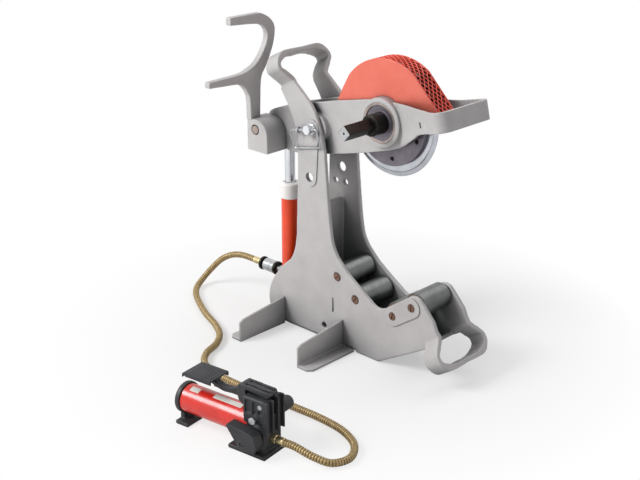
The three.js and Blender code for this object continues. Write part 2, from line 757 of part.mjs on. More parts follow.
// Cutter wheel: a flat web with a broad bevel and a narrower one at the edge
function cutterWheel() {
  const bore = shaftCollar + fitGap;
  const web = wheelWall / half;
  const edge = wheelEdgeWall / half;
  const band = wheelHubRadius + (wheelRadius - wheelHubRadius) * wheelBevelShare;
  const bandHalf = web * 0.62;
  return turned([[bore, -web], [wheelHubRadius + wheelStep, -web], [band, -bandHalf], [wheelRadius, -edge],
    [wheelRadius, edge], [band, bandHalf], [wheelHubRadius + wheelStep, web], [bore, web], [bore, -web]],
        wheelSides)
    .translate(armReach, 0, 0);
}

function screwRing(radius, low, high) {
  return Array.from({ length: hubScrewCount }, (_, i) => {
    const angle = radians(hubScrewPhase) + i * half * Math.PI / hubScrewCount;
    return barY(radius, low, high, armReach + hubScrewCircle * Math.cos(angle),
      hubScrewCircle * Math.sin(angle), smallSides);
  });
}

function hubPlate(side) {
  const near = wheelWall / half + fitGap;
  const far = near + hubPlateWall;
  const bore = shaftCollar + fitGap;
  const low = side < 0 ? -far : near;
  const high = side < 0 ? -near : far;
  const disc = turned([[bore, low], [wheelHubRadius, low], [wheelHubRadius, high], [bore, high], [bore,
      low]], wheelSides);
  return cut(disc.translate(armReach, 0, 0), ...screwRing(hubScrewRadius + fitGap, low - overrun,
      high + overrun));
}

const hubFace = wheelWall / half + fitGap + hubPlateWall;
part("cutter_wheel", cut(cutterWheel(), ...screwRing(hubScrewRadius + fitGap, -wheelWall, wheelWall)),
    chrome, arm);
part("hub_plate_near", hubPlate(-1), hubMetal, arm);
part("hub_plate_far", hubPlate(1), hubMetal, arm);
screwRing(hubScrewRadius, -hubFace + hubScrewHead, hubFace - hubScrewHead).forEach((screw, i) => {
  part(`hub_screw_${i + 1}`, screw, blackSteel, arm);
});

// Guard: two side plates and a band of expanded metal between them
function guardArc(radius, steps) {
  const from = Math.acos(-guardRearShare);
  const to = Math.acos(guardFrontShare);
  return Array.from({ length: steps + 1 }, (_, i) => {
    const angle = from + (to - from) * i / steps;
    return [armReach + radius * Math.cos(angle), radius * Math.sin(angle)];
  });
}

const guardBottom = armDepthAbove - guardFoot;
const guardRearX = armReach - guardRadius;
const tailPoint = [armReach + guardRadius + guardTailReach, guardTailDrop];

// The guard's outer line at a depth inside it: rear foot, arc over the wheel, straight tail
function guardRim(inset, steps) {
  const arc = guardArc(guardRadius - inset, steps);
  const first = arc[0];
  const last = arc[arc.length - 1];
  const slope = new THREE.Vector2(tailPoint[0] - last[0], tailPoint[1] - last[1]).normalize();
  return [[guardRearX + inset, guardBottom], [(guardRearX + inset + first[0]) / half,
      (guardBottom + first[1]) / half],
    ...arc, [tailPoint[0] + slope.y * inset, tailPoint[1] - slope.x * inset]];
}

const rimSteps = 12;
const splitStep = 7;

function guardShell() {
  const rim = guardRim(0, rimSteps);
  const outline = shapeOf([...rim, [tailPoint[0] - guardFoot, tailPoint[1] - guardFoot],
    [armReach + boreBossRadius + guardFoot, guardBottom - guardFoot * 3]]);
  const sides = [-guardHalfWidth, guardHalfWidth - guardWall].map((low) => slab(outline, low,
      low + guardWall));
  const band = slab(shapeOf([...rim.slice(0, splitStep), ...guardRim(guardWall, rimSteps).slice(0,
      splitStep).reverse()]),
    -guardHalfWidth + guardWall / half, guardHalfWidth - guardWall / half);
  const reach = guardHalfWidth + overrun;
  return cut(join(...sides, band), barY(boreBossRadius + half * fitGap, -reach, reach, armReach, 0,
      wheelSides));
}

function guardMesh() {
  const outer = guardRim(0, rimSteps).slice(splitStep - 1);
  const inner = guardRim(guardWall, rimSteps).slice(splitStep - 1);
  const line = new THREE.CurvePath();
  for (let i = 0; i + 1 < outer.length; i += 1) {
    line.add(new THREE.LineCurve(new THREE.Vector2(...outer[i]), new THREE.Vector2(...outer[i + 1])));
  }
  const halfWidth = guardHalfWidth - guardWall - fitGap;
  const start = line.getTangentAt(0).multiplyScalar(fitGap);
  outer[0] = [outer[0][0] + start.x, outer[0][1] + start.y];
  inner[0] = [inner[0][0] + start.x, inner[0][1] + start.y];
  const band = slab(shapeOf([...outer, ...inner.slice().reverse()]), -halfWidth, halfWidth);
  const pitch = (line.getLength() - half * meshEdge) / meshRows;
  const open = (halfWidth - meshEdge) * half / meshColumns;
  const tools = [];
  for (let row = 0; row < meshRows * half - 1; row += 1) {
    const share = (meshEdge + (row + 1) * pitch / half) / line.getLength();
    const at = line.getPointAt(share);
    const tangent = line.getTangentAt(share);
    const columns = row % half ? meshColumns - 1 : meshColumns;
    const along = new THREE.Vector3(tangent.x, 0, tangent.y);
    const across = new THREE.Vector3(0, 1, 0);
    const out = new THREE.Vector3().crossVectors(along, across);
    const reachAlong = (pitch - meshStrand) / half;
    const reachAcross = (open - meshStrand) / half;
    const diamond = shapeOf([[-reachAlong, 0], [0, -reachAcross], [reachAlong, 0], [0, reachAcross]]);
    const depth = guardWall * overrun;
    for (let column = 0; column < columns; column += 1) {
      const y = (column - (columns - 1) / half) * open;
      tools.push(new THREE.ExtrudeGeometry(diamond, { depth, bevelEnabled: false })
        .translate(0, 0, -depth / half)
        .applyMatrix4(new THREE.Matrix4().makeBasis(along, across, out).setPosition(at.x, y, at.y)));
    }
  }
  return cut(band, ...tools);
}

part("guard_shell", guardShell(), guardPaint, arm);
part("guard_mesh", guardMesh(), guardPaint, arm);

// Support yoke: a block that turns on the arm's rear bolt, and a fork above it
const yokeNearFace = -armHalfWidth - fitGap - yokeBlockLength;
const yokeStemShares = [[0.74, 0], [0.755, 0.32], [0.776, 0.43], [0.846, 0.5], [0.947, 0.665], [1, 0.79]];
const yokeCrownShares = [[0.998, 0.88], [0.93, 0.968], [0.8, 1.03], [0.7, 1.04], [0.3, 1.04], [0.3, 0.965],
  [0.564, 0.95], [0.72, 0.935], [0.81, 0.91], [0.872, 0.855], [0.878, 0.785]];
const yokeThroatShares = [[0.835, 0.71], [0.765, 0.62], [0.697, 0.56], [0.596, 0.515], [0.42, 0.474]];
const yokeLowerShares = [[-0.045, 0.47], [-0.045, 0.408], [0.4, 0.384], [0.48, 0.35], [0.552, 0.274],
  [0.584, 0.2], [0.584, 0]];

function supportYoke() {
  const start = yokeNearFace - yokeSpan + yokeSpan * 0.388 + overrun;
  const top = yokeZ + yokeBlockHeight - overrun;
  const at = ([across, up]) => [start + across * yokeSpan, top + up * yokeRise];
  const outline = shapeOf([...yokeStemShares, ...yokeCrownShares, ...yokeThroatShares,
      ...yokeLowerShares].map(at));
  const fork = new THREE.ExtrudeGeometry(outline, { depth: yokePlate, bevelEnabled: false });
  fork.applyMatrix4(new THREE.Matrix4().makeBasis(new THREE.Vector3(0, 1, 0), new THREE.Vector3(0, 0, 1),
    new THREE.Vector3(1, 0, 0)).setPosition(yokeX, 0, 0));
  const shape = new THREE.Shape();
  shape.moveTo(yokeX, yokeZ);
  shape.lineTo(yokeX + yokeBlockWidth, yokeZ);
  shape.lineTo(yokeX + yokeBlockWidth, yokeZ + yokeBlockHeight - yokeBlockRound);
  shape.absarc(yokeX + yokeBlockWidth - yokeBlockRound, yokeZ + yokeBlockHeight - yokeBlockRound,
      yokeBlockRound,
    0, quarterTurn, false);
  shape.lineTo(yokeX, yokeZ + yokeBlockHeight);
  const base = slab(shape, yokeNearFace, -armHalfWidth - fitGap);
  const bolt = barY(yokeBoltRadius + fitGap, yokeNearFace - overrun, 0, yokeBoltX, yokeBoltZ, smallSides);
  const recess = barY(yokeBoltHead + fitGap, yokeNearFace - overrun, yokeNearFace + yokeBoltHeadWall,
    yokeBoltX, yokeBoltZ, smallSides);
  return cut(join(fork, base), bolt, recess);
}

part("support_yoke", supportYoke(), paint);
part("yoke_bolt", join(
  barY(yokeBoltRadius, yokeNearFace + fitGap, -rodSlotHalfWidth - overrun - fitGap, yokeBoltX, yokeBoltZ,
    smallSides),
  barY(yokeBoltHead, yokeNearFace + fitGap, yokeNearFace + yokeBoltHeadWall - fitGap, yokeBoltX, yokeBoltZ,
    smallSides),
), bronze);

// Hydraulic cylinder, upright on the frame's floor
const cylinderTop = cylinderTopShare * plateHeight;
const portHeight = portHeightShare * plateHeight;
const rodPinZ = pivotZ - rodPinDrop;

function cylinderBody() {
  const tube = barZ(cylinderRadius, cylinderFoot, cylinderTop, rodLineX, 0);
  const bore = barZ(cylinderBore, cylinderFoot + cylinderBase, cylinderTop + overrun, rodLineX, 0);
  const port = barX(nippleRadius + fitGap, rodLineX - cylinderRadius - overrun, rodLineX, 0, portHeight,
      smallSides);
  const tapped = barZ(footBoltRadius + fitGap, cylinderFoot - overrun, cylinderFoot + footBoltDepth,
      rodLineX, 0,
    smallSides);
  return cut(tube, bore, port, tapped);
}

part("cylinder_body", cylinderBody(), cylinderPaint);
part("cylinder_bolt", join(
  barZ(footBoltRadius, fitGap, cylinderFoot + footBoltDepth - fitGap, rodLineX, 0, smallSides),
  barZ(footBoltHead, fitGap, fitGap + footBoltHeadWall, rodLineX, 0, smallSides),
), steel);

function collar() {
  const low = cylinderTop + fitGap;
  const high = low + collarHeight;
  const bore = rodRadius + axleRunningGap;
  return turned([[bore, low], [collarRadius, low], [collarRadius, high - collarRound],
      [collarRadius - collarRound, high],
    [bore, high], [bore, low]]).rotateX(quarterTurn).translate(rodLineX, 0, 0);
}

part("cylinder_collar", collar(), cream);

const pistonLow = cylinderFoot + cylinderBase + overrun;

function pistonRod() {
  const rod = barZ(rodRadius, pistonLow, rodPinZ - rodEyeRadius / half, rodLineX, 0);
  const piston = barZ(cylinderBore - pistonPlay, pistonLow, pistonLow + pistonHeight, rodLineX, 0);
  const eye = barY(rodEyeRadius, -rodEyeHalfWidth, rodEyeHalfWidth, rodLineX, rodPinZ);
  const hole = barY(rodPinRadius + rodEyeClear, -rodEyeHalfWidth - overrun, rodEyeHalfWidth + overrun,
    rodLineX, rodPinZ);
  return cut(join(rod, piston, eye), hole);
}

part("piston_rod", pistonRod(), chrome);

// The return spring fills the space round the rod, above the piston
function returnSpring() {
  const inside = rodRadius + springPlay;
  const low = pistonLow + pistonHeight + fitGap;
  return turned([[inside, low], [inside + springWall, low], [inside + springWall, cylinderTop],
    [inside, cylinderTop], [inside, low]]).rotateX(quarterTurn).translate(rodLineX, 0, 0);
}

part("return_spring", returnSpring(), steel);

// Quick coupler: nipple, body with two rubber rings, sliding sleeve and hose ferrule
const couplerHigh = rodLineX - cylinderRadius - nippleReach;
const couplerLow = couplerHigh - couplerLength;
const nippleEnd = couplerHigh - couplerLength / half;
const nippleStart = rodLineX - cylinderRadius + overrun;
part("coupler_nipple", cut(
  barX(nippleRadius, nippleEnd + fitGap, nippleStart, 0, portHeight, smallSides),
  barX(hoseBore, nippleEnd, nippleStart + overrun, 0, portHeight, smallSides),
), steel);

// A [radius, reach] profile turned about the port line
function onPort(profile) {
  return turned(profile, smallSides + smallSides / half).rotateZ(quarterTurn).translate(0, 0, portHeight);
}

const shoulder = couplerRadius + ringProud;
part("coupler_body", onPort([[nippleRadius + fitGap, -couplerHigh], [shoulder, -couplerHigh],
  [shoulder, -couplerHigh + ringLength], [couplerCore, -couplerHigh + ringLength],
  [couplerCore, -couplerLow - ringLength], [shoulder, -couplerLow - ringLength], [shoulder, -couplerLow],
  [hoseBore, -couplerLow], [hoseBore, -nippleEnd], [nippleRadius + fitGap, -nippleEnd],
  [nippleRadius + fitGap, -couplerHigh]]), blackSteel);

const sleeveHigh = couplerHigh - ringLength - fitGap;
const sleeveLow = couplerLow + ringLength + fitGap + sleeveTravel;
part("coupler_sleeve", onPort([[couplerCore + fitGap, -sleeveHigh], [couplerRadius, -sleeveHigh],
  [couplerRadius, -sleeveLow], [couplerCore + fitGap, -sleeveLow], [couplerCore + fitGap, -sleeveHigh]]),
      steel);

const ferruleHigh = couplerLow - fitGap;
const ferruleLow = ferruleHigh - ferruleLength;
part("hose_ferrule", onPort([[hoseBore, -ferruleHigh], [ferruleRadius + ringProud, -ferruleHigh],
  [ferruleRadius + ringProud, -ferruleHigh + ringLength], [ferruleRadius,
      -ferruleHigh + ringLength + ringProud],
  [ferruleRadius, -ferruleLow], [hoseBore, -ferruleLow], [hoseBore, -ferruleHigh]]), brass);

// Foot pump
const pump = new THREE.Group();
pump.position.set(pumpPlace[0], pumpPlace[1], 0);
pump.rotation.z = radians(pumpTurn);
root.add(pump);

const headBack = tankLength / half;
const headFront = headBack + headSize[0];
const tankLow = headBack - tankLength;

function tank() {
  const end = headBack + socketDepth - fitGap;
  return cut(barX(tankRadius, tankLow, end, 0, tankAxis), barX(tankRadius - tankWall, tankLow - overrun,
      end + overrun,
    0, tankAxis));
}

part("pump_tank", tank(), tankPaint, pump);

function endCap() {
  const low = tankLow - fitGap - capWall;
  const disc = barX(tankRadius + capProud, low, tankLow - fitGap, 0, tankAxis);
  const plug = barX(tankRadius - tankWall - fitGap, tankLow - fitGap - overrun, tankLow + capWall, 0,
      tankAxis);
  const wide = rearFootSize[1] / half;
  const rearFoot = block([low, -wide, 0], [low + rearFootSize[0], wide, rearFootSize[2]]);
  const neck = block([low, -tankRadius / half, rearFootSize[2] - overrun], [tankLow - fitGap,
      tankRadius / half,
    tankAxis - tankRadius / half]);
  return join(disc, plug, neck, rearFoot);
}

part("pump_end_cap", endCap(), pumpBlack, pump);

const headHalf = headSize[1] / half;
const headTop = headSize[2];
const slotHalf = treadleArmHalfWidth + treadlePlay;
const slotFloor = treadleAxis - treadleArmDepth * 1.2;
const plungerX = headFront - plungerArm - headSize[0] / 5;
const treadleX = plungerX + plungerArm;

const releaseX = headBack + headSize[0] * 0.34;
const releaseZ = headBaseSize[2] + releaseSize[2] * 0.8;
const releaseFar = -tankRadius - overrun / half;
const barrelX = headFront - barrelRadius - fitGap;
const barrelZ = headTop * 0.64;
const reliefX = headBack + headSize[0] * 0.62;
const reliefZ = headTop * 0.66;

function pumpHead() {
  const body = block([headBack, -headHalf, headBaseSize[2] - overrun], [headFront, headHalf, headTop]);
  const base = block([headFront + headFinDepth - headBaseSize[0], -headBaseSize[1] / half, 0],
    [headFront + headFinDepth, headBaseSize[1] / half, headBaseSize[2]]);
  const fins = Array.from({ length: headFinCount }, (_, i) => {
    const y = -headHalf + (headSize[1] - headFinWall) * i / (headFinCount - 1);
    return block([headFront - overrun, y, fittingHeight + fittingRadius + overrun * half],
      [headFront + headFinDepth, y + headFinWall, headTop]);
  });
  const stub = barY(releasePinRadius, releaseFar - releaseSize[1], -headHalf + overrun, releaseX, releaseZ,
      smallSides);
  const cuts = [
    barX(tankRadius + fitGap, headBack - overrun, headBack + socketDepth, 0, tankAxis),
    block([headBack - overrun, -slotHalf, slotFloor], [headFront + headFinDepth + overrun, slotHalf,
        headTop + overrun]),
    barZ(plungerRadius + pistonPlay, slotFloor - plungerLength, slotFloor + overrun, plungerX, 0,
        smallSides),
    barY(treadlePinRadius + fitGap, -headHalf - overrun, headHalf + overrun, treadleX, treadleAxis,
        smallSides),
    barX(fittingRadius * 0.6 + fitGap, headFront - socketDepth, headFront + headFinDepth + overrun, 0,
        fittingHeight, smallSides),
    barY(reliefRadius + fitGap, -headHalf - overrun, -headHalf + socketDepth / half, reliefX, reliefZ,
        smallSides),
    barY(barrelRadius * 0.7 + fitGap, headHalf - socketDepth / half, headHalf + overrun, barrelX, barrelZ,
        smallSides),
  ];
  return cut(join(body, base, ...fins, stub), ...cuts);
}

part("pump_head", pumpHead(), pumpBlack, pump);

part("treadle_pin", barY(treadlePinRadius, -headHalf, headHalf, treadleX, treadleAxis, smallSides), steel,
    pump);

const releaseShares = [[-0.12, -0.4], [0.42, -0.4], [0.5, 0.1], [0.42, 0.9], [0.1, 1.15], [-0.5, 1.3],
  [-0.52, 1.05], [-0.3, 0.3]];

// Treadle: a cranked lever from the pin, over the tank, to the pad plate
const treadleShares = [[0, 0.5], [-0.22, 0.95], [-0.42, 1.25], [-0.62, 0.9], [-0.8, 0.72], [-1, 0.86]];
const treadleUnderShares = [[-1, 0.5], [-0.78, 0.12], [-0.6, 0.2], [-0.42, 0.5], [-0.2, 0.1], [0, -0.5]];

function treadle() {
  const reach = treadleReach;
  const at = ([along, up]) => [treadleX + along * reach, treadleAxis + up * treadleArmDepth];
  const lever = slab(shapeOf([...smooth(treadleShares.map(at), 2), ...smooth(treadleUnderShares.map(at),
      2)]),
    -treadleArmHalfWidth, treadleArmHalfWidth);
  const eye = barY(treadleArmDepth / half, -treadleArmHalfWidth, treadleArmHalfWidth, treadleX,
      treadleAxis, smallSides);
  const padX = treadleX - reach;
  const padZ = treadleAxis + treadleArmDepth * 0.7;
  const plate = block([padX - padSize[0] * 0.78, -padSize[1] / half, padZ], [padX + padSize[0] * 0.22,
      padSize[1] / half,
    padZ + padSize[2]]);
  const lip = block([padX - padSize[0] * 0.78, -padSize[1] / half, padZ - padSize[2]],
      [padX - padSize[0] * 0.78 + padSize[2],
    padSize[1] / half, padZ + padSize[2] / half]);
  const hole = barY(treadlePinRadius + fitGap, -treadleArmHalfWidth - overrun,
      treadleArmHalfWidth + overrun, treadleX,
    treadleAxis, smallSides);
  const seat = barZ(plungerRadius + overrun * fitGap, treadleAxis - treadleArmDepth * half,
      treadleAxis - treadleArmDepth * 0.18, plungerX, 0,
    smallSides);
  return cut(join(lever, eye, plate, lip), hole, seat);
}

part("treadle", treadle(), pumpBlack, pump);

const plungerTop = treadleAxis - treadleArmDepth * 0.18 - half * fitGap;
part("pump_plunger", barZ(plungerRadius, plungerTop - plungerLength + plungerStroke, plungerTop - fitGap,
    plungerX, 0, smallSides),
  steel, pump);

function releasePedal() {
  const near = releaseFar - releaseSize[1];
  const at = ([along, up]) => [releaseX + along * releaseSize[0], releaseZ + up * releaseSize[2]];
  const wedge = slab(shapeOf(releaseShares.map(at)), near, releaseFar);
  return cut(wedge, barY(releasePinRadius + fitGap, near - overrun, releaseFar + overrun, releaseX,
      releaseZ,
    smallSides));
}

part("release_pedal", releasePedal(), pumpBlack, pump);

part("valve_barrel", join(
  barY(barrelRadius * 0.7, headHalf - socketDepth / 3, headHalf + socketDepth, barrelX, barrelZ,
      smallSides),
  barY(barrelRadius, headHalf + fitGap, headHalf + barrelLength, barrelX, barrelZ, smallSides + 8),
), pumpBlack, pump);

part("relief_screw", join(
  barY(reliefRadius, -headHalf - reliefLength / half, -headHalf + socketDepth / 3, reliefX, reliefZ,
      smallSides),
  barY(reliefRadius * 1.5, -headHalf - reliefLength, -headHalf - reliefLength / half + bite, reliefX, reliefZ,
      6),
), steel, pump);

const fittingStart = headFront + fitGap;
const fittingEnd = headFront + headFinDepth + fittingReach;
part("hose_fitting", cut(join(
  barX(fittingRadius * 0.6, headFront - socketDepth / half, headFront + fittingReach, 0, fittingHeight,
      smallSides),
  barX(fittingRadius, fittingStart, fittingStart + headFinDepth, 0, fittingHeight, 6),
  barX(ferruleRadius, fittingStart + headFinDepth - bite, fittingEnd, 0, fittingHeight, smallSides),
), barX(hoseBore, headFront - socketDepth, fittingEnd + overrun, 0, fittingHeight, smallSides)), brass,
    pump);

// Hose: its route over the floor, from the coupler to the pump
pump.updateMatrixWorld(true);
const hoseEnd = new THREE.Vector3(fittingEnd + fitGap, 0, fittingHeight).applyMatrix4(pump.matrixWorld);
const hoseEndWay = new THREE.Vector3(1, 0, 0).transformDirection(pump.matrixWorld);
const hoseStart = new THREE.Vector3(ferruleLow - fitGap, 0, portHeight);
const hoseRest = hoseRadius + half * fitGap;
const hoseSag = [[-352, -1, 96], [-388, -6, 76], [-420, -18, 44], [-436, -40, 18]];
const hoseFloor = [[-424, -74], [-390, -107], [-340, -138], [-285, -166], [-225, -190], [-178, -218],
    [-147, -256],
  [-130, -298], [-100, -332], [-50, -350], [20, -352], [100, -345], [180, -337], [256, -332], [322, -338],
  [372, -362], [396, -402]];
const hoseRise = [[386, -442, 12], [356, -460, 21]];
const hoseRoute = [...hoseSag, ...hoseFloor.map(([x, y]) => [x, y, hoseRest]), ...hoseRise];

function hosePath() {
  const lead = hoseRadius * 3;
  const first = hoseStart.clone().add(new THREE.Vector3(-lead, 0, 0));
  const last = hoseEnd.clone().addScaledVector(hoseEndWay, lead);
  return new THREE.CatmullRomCurve3([hoseStart, first, ...hoseRoute.map(([x, y, z]) => new THREE.Vector3(x,
      y, z)),
    last, hoseEnd], false, "centripetal");
}

function hose() {
  const path = hosePath();
  path.arcLengthDivisions = 1200;
  const length = path.getLength();
  const section = shapeOf(Array.from({ length: hoseSides }, (_, i) => {
    const angle = half * Math.PI * i / hoseSides;
    return [hoseRadius * Math.cos(angle), hoseRadius * Math.sin(angle)];
  }));
  const steps = Math.round(length / (hoseStep * half * hoseRadius));
  console.log(`hose length ${length.toFixed(1)} mm, least gap to itself ${hoseGap(path,
      length).toFixed(1)} mm`);
  return fromSolid(solid(new THREE.ExtrudeGeometry(section, { steps, extrudePath: path })));
}

// Least gap between stretches of the hose that lie apart along it
function hoseGap(path, length) {
  const count = 300;
  const points = path.getSpacedPoints(count);
  const apart = Math.ceil(hoseRadius * 8 / (length / count));
  let least = Infinity;
  for (let i = 0; i <= count; i += 1) {
    for (let j = i + apart; j <= count; j += 1) least = Math.min(least, points[i].distanceTo(points[j]));
  }
  return least - hoseRadius * half;
}

part("hose", hose(), hoseCover);

export default root;
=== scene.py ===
"""Looks of a power pipe cutter with its foot pump, in the frame of its solids.

Lengths are written in millimetres and become metres when a piece is finished.
+X is the front, -Y the drive side, +Z up, and the floor is at zero.
"""

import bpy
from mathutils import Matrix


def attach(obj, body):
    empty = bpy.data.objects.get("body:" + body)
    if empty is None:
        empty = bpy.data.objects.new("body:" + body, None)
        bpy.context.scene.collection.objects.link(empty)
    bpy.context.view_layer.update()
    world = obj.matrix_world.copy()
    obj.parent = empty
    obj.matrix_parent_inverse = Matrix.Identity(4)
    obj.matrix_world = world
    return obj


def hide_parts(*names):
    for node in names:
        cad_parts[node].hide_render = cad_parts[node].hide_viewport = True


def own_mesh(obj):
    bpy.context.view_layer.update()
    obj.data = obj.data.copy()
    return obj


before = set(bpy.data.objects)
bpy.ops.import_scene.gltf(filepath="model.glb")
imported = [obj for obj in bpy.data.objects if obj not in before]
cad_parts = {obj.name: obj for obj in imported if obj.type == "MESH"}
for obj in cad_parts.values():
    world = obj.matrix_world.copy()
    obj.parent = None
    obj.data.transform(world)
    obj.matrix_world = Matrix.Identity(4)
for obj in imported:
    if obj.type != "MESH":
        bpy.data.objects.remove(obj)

import logging
import math
from bisect import bisect_right
from dataclasses import dataclass, field
from enum import Enum
from typing import Callable, ClassVar, Iterable, Optional, Sequence

import bmesh
import bpy
from mathutils import Matrix, Vector


LOG = logging.getLogger("pipe_cutter")
MM = 0.001
SIDES = (("near", -1), ("far", 1))
# Each view turns an outline's two coordinates and its height to the object's frame.
SIDE_VIEW = Matrix(((1, 0, 0, 0), (0, 0, 1, 0), (0, 1, 0, 0), (0, 0, 0, 1)))
FRONT_VIEW = Matrix(((0, 0, 1, 0), (1, 0, 0, 0), (0, 1, 0, 0), (0, 0, 0, 1)))
PLAN_VIEW = Matrix.Identity(4)

Point = Sequence[float]
Outline = list[tuple[float, float]]
Shell = list[bmesh.types.BMVert]
Socket = bpy.types.NodeSocket


class Axis(Enum):
    """Axes a piece can be turned about or pushed along."""

    X = Vector((1, 0, 0))
    Y = Vector((0, 1, 0))
    Z = Vector((0, 0, 1))


class Edge(Enum):
    """How far a piece's edges are broken, in millimetres. DRAWN adds nothing to what its outlines draw."""

    DRAWN = 0.0
    SPRING = 0.2
    SOCKET = 0.25
    TURNED = 0.3
    HEXAGON = 0.4
    PRESSED = 0.5
    SPOTFACED = 0.6
    MILLED = 0.7
    PLATE = 0.8
    CAST = 2.2


def linear(colour: str) -> tuple[float, float, float, float]:
    """Turn an sRGB hex colour into linear RGBA.

    Args:
        colour: six hex digits.

    Returns:
        Linear red, green, blue and a full alpha.
    """
    shares = [int(colour[i : i + 2], 16) / 255 for i in (0, 2, 4)]
    flat = [s / 12.92 if s <= 0.04045 else ((s + 0.055) / 1.055) ** 2.4 for s in shares]
    return (*flat, 1.0)


def hermite(start, end, leave, arrive, share: float):
    """A place on a cubic span, for numbers or vectors.

    Args:
        start: where the span starts.
        end: where it ends.
        leave: its slope at the start.
        arrive: its slope at the end.
        share: how far along the span, from 0 to 1.

    Returns:
        The place, of the same kind as the start.
    """
    cubic = 2 * start - 2 * end + leave + arrive
    square = -3 * start + 3 * end - 2 * leave - arrive
    return cubic * share**3 + square * share**2 + leave * share + start


def smooth(points: Sequence[Point], steps: int = 6) -> Outline:
    """Run a smooth curve through points in a plane.

    Args:
        points: the points that the curve passes through.
        steps: points made for each span.

    Returns:
        The curve's points, both ends included.
    """
    ends = [points[0], *points, points[-1]]
    out = [tuple(hermite(b, c, (c - a) / 2, (d - b) / 2, k / steps) for a, b, c, d in zip(*four))
           for four in zip(ends, ends[1:], ends[2:], ends[3:]) for k in range(steps)]
    return out + [tuple(points[-1])]


def polar(cx: float, cy: float, r: float, degrees: float) -> tuple[float, float]:
    """The point at an angle on a circle."""
    a = math.radians(degrees)
    return cx + r * math.cos(a), cy + r * math.sin(a)


def arc(cx: float, cy: float, r: float, start: float, end: float, steps: int = 12) -> Outline:
    """Points on a circle's arc between two angles in degrees.

    Args:
        cx: the centre's first coordinate.
        cy: its second coordinate.
        r: the radius.
        start: the first angle.
        end: the last angle.
        steps: spans in the arc.

    Returns:
        The points, both ends included.
    """
    return [polar(cx, cy, r, start + (end - start) * k / steps) for k in range(steps + 1)]


def circle(cx: float, cy: float, r: float, steps: int = 40) -> Outline:
    """A closed round outline, without its doubled last point."""
    return arc(cx, cy, r, 0, 360, steps)[:-1]


def obround(a: Point, b: Point, r: float) -> Outline:
    """The outline of a slot or pad of radius r round the line from a to b."""
    way = math.degrees(math.atan2(b[1] - a[1], b[0] - a[0]))
    return arc(*a, r, way + 90, way + 270) + arc(*b, r, way - 90, way + 90)


def mirrored(half: Outline) -> Outline:
    """Close a profile whose half below zero is given, ending at or before zero."""
    return [*half, *((r, -reach) for r, reach in half[::-1] if reach), half[0]]


class Line:
    """A run of points that can be walked by distance."""

    def __init__(self, points: Sequence[Vector]) -> None:
        """Measure the run."""
        self.points = points
        self.reach = [0.0]
        for a, b in zip(points, points[1:]):
            self.reach.append(self.reach[-1] + (b - a).length)

    @property
    def length(self) -> float:
        """The run's whole length."""
        return self.reach[-1]

    def at(self, distance: float) -> Vector:
        """The place at a distance from the start."""
        k = min(bisect_right(self.reach, distance), len(self.reach) - 1) - 1
        share = (distance - self.reach[k]) / (self.reach[k + 1] - self.reach[k])
        return self.points[k].lerp(self.points[k + 1], min(share, 1.0))


